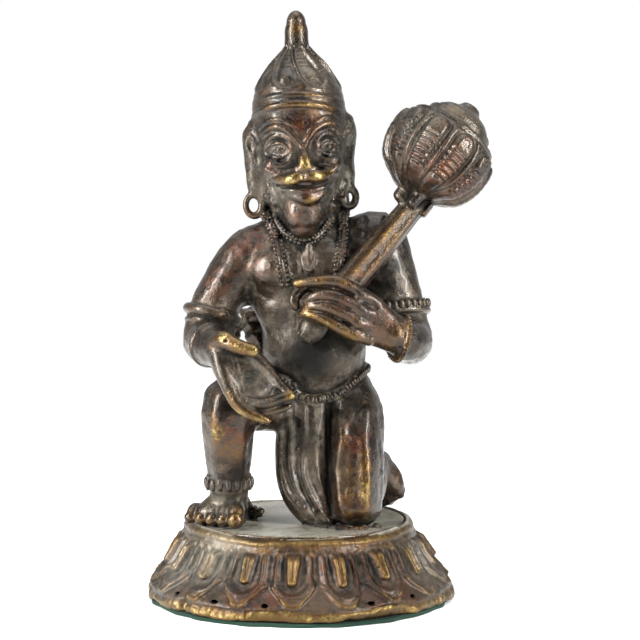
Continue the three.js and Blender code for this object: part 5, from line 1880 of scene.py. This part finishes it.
def felt_pad():
    """A disc of felt with a soft, slightly uneven edge."""
    SIDES = 180
    SWAY = 0.6  # the most that the waves of the edge are expected to reach outwards
    # how far out from the edge, height as a share of the felt's thickness
    profile = [(-1, 0), (-0.25, 0), (0, 0.3), (0.05, 0.62), (-0.05, 0.95), (-0.3, 1), (-1, 1)]
    random = np.random.default_rng(11)
    waves = [(k, random.uniform(0.1, 0.3), random.uniform(0, 6.28)) for k in (3, 5, 8, 13, 21, 34)]
    points = []
    for angle in turns(SIDES):
        sway = sum(depth * math.sin(k * angle + shift) for k, depth, shift in waves)
        for inset, height in profile:
            radius = PLINTH_RADIUS - FELT_INSET - SWAY + inset + (sway if inset > -1 else 0)
            place = (radius * math.cos(angle), radius * math.sin(angle), height * FELT_THICKNESS)
            points.append([v * MM for v in place])
    count = len(profile)
    faces = []
    for i in range(SIDES):
        j = (i + 1) % SIDES
        for row in range(count - 1):
            faces.append((i * count + row, j * count + row, j * count + row + 1, i * count + row + 1))
    points += [(0, 0, 0), (0, 0, FELT_THICKNESS * MM)]
    for i in range(SIDES):
        j = (i + 1) % SIDES
        faces.append((len(points) - 2, j * count, i * count))
        faces.append((len(points) - 1, i * count + count - 1, j * count + count - 1))
    pad = new_object("felt_pad_cloth", points, faces)
    turn_outward(pad)
    return pad


# Making the pieces

bronze = aged_bronze("patinated_lost_wax_bronze")
worn_bronze = aged_bronze("worn_lost_wax_bronze", brass_share=0.1, matt=0.16, even=0.25)
felt = green_felt()

wax, paths = sculpted()
figure = cast_from(wax)
combined(figure, ornaments(wax, paths, bronze), "UNION")
drop_doubled_faces(figure)
figure.data.shade_smooth()
use_only(figure, bronze)
weather(figure, *map(spots_in_metres, (BRASS_SPOTS, RED_SPOTS, SOOT_AND_SHADE_SPOTS, DUST_AND_LIGHT_SPOTS)))
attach(figure, "root")
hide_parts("figure")

plinth = lotus_plinth(worn_bronze)
use_only(plinth, worn_bronze)
weather(plinth, [], plinth_spots(PLINTH_RED), [], plinth_spots(PLINTH_DUST), grime_and_shade=1.5)
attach(plinth, "root")
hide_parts("lotus_plinth")

pad = felt_pad()
use_only(pad, felt)
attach(pad, "root")
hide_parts("felt_pad")

for piece in (figure, plinth, pad):
    print(piece.name, sum(len(p.vertices) - 2 for p in piece.data.polygons), "triangles")


# Floor, light and camera


def studio():
    """A white room: even light from above, a tall soft box on each side, and little from the front."""
    FRONT_LIGHT = 0.08
    BACK_LIGHT = 0.6
    TOP_LIGHT = 0.55
    FLOOR = 1.6
    FLOOR_BACK = 0.7
    world = bpy.data.worlds.new("studio")
    bpy.context.scene.world = world
    world.use_nodes = True
    tree = world.node_tree
    tree.nodes.clear()
    seen = add_node(tree, "ShaderNodeLightPath").outputs["Is Camera Ray"]
    toward = add_node(tree, "ShaderNodeTexCoord").outputs["Generated"]
    split = add_node(tree, "ShaderNodeSeparateXYZ", {0: toward}).outputs
    backdrop = add_node(tree, "ShaderNodeMapRange", {
        "Value": split["Y"], "From Min": -0.1, "From Max": 0.6, "To Min": FRONT_LIGHT, "To Max": BACK_LIGHT
    })
    ceiling = add_node(tree, "ShaderNodeMapRange", {
        "Value": split["Z"], "From Min": 0.2, "From Max": 0.8, "To Min": FRONT_LIGHT, "To Max": TOP_LIGHT
    })
    around = add_node(
        tree, "ShaderNodeMath", {0: backdrop.outputs[0], 1: ceiling.outputs[0]}, operation="MAXIMUM"
    )
    room = add_node(tree, "ShaderNodeBackground", {"Color": (1, 1, 1, 1), "Strength": around.outputs[0]})
    paper = add_node(tree, "ShaderNodeBackground", {"Color": (1, 1, 1, 1), "Strength": 1.0})
    both = add_node(tree, "ShaderNodeMixShader", {0: seen, 1: room.outputs[0], 2: paper.outputs[0]})
    add_node(tree, "ShaderNodeOutputWorld", {"Surface": both.outputs[0]})
    corners = [(-FLOOR, -FLOOR, 0), (FLOOR, -FLOOR, 0), (FLOOR, FLOOR_BACK, 0), (-FLOOR, FLOOR_BACK, 0)]
    floor = new_object("floor", corners, [(0, 1, 2, 3)], smooth=False)
    material, tree = new_material("pale_paper")
    shader = add_node(tree, "ShaderNodeBsdfPrincipled", {"Base Color": linear("#F7F7F6"), "Roughness": 0.9})
    add_node(tree, "ShaderNodeOutputMaterial", {"Surface": shader.outputs[0]})
    floor.data.materials.append(material)

    FIGURE_MIDDLE = (0, 0, 0.1)

    def lamp(name, kind, place, **settings):
        data = bpy.data.lights.new(name, kind)
        for key, value in settings.items():
            setattr(data, key, value)
        made = linked(name, data)
        made.location = place
        aim = Vector(FIGURE_MIDDLE) - Vector(place)
        made.rotation_euler = aim.to_track_quat("-Z", "Y").to_euler()

    lamp("overhead_light", "SUN", (0, 0, 1), energy=2.4, angle=math.radians(60))
    lamp("left_softbox", "AREA", (-0.6, -0.32, 0.3), shape="RECTANGLE", size=0.12, size_y=0.5, energy=12)
    lamp(
        "right_softbox", "AREA", (0.55, -0.42, 0.28), shape="RECTANGLE", size=0.07, size_y=0.45, energy=8.5
    )


def camera():
    """The photograph's view: a long lens a little above the figure's middle, looking slightly down."""
    FOCAL_PIXELS = 1827
    IMAGE_PIXELS = 640
    PITCH_DOWN = math.radians(3.9)
    AXIS_PIXEL = 300  # where the plinth's axis falls in the image
    SENSOR = 36
    EYE = (0, -0.6, 0.132)
    lens = bpy.data.cameras.new("photo_view")
    lens.sensor_width = SENSOR
    lens.lens = SENSOR * FOCAL_PIXELS / IMAGE_PIXELS
    lens.shift_x = (IMAGE_PIXELS / 2 - AXIS_PIXEL) / IMAGE_PIXELS
    made = linked("photo_view", lens)
    made.location = EYE
    made.rotation_euler = (math.pi / 2 - PITCH_DOWN, 0, 0)
    bpy.context.scene.camera = made


studio()
camera()
bpy.context.scene.view_settings.view_transform = "Standard"
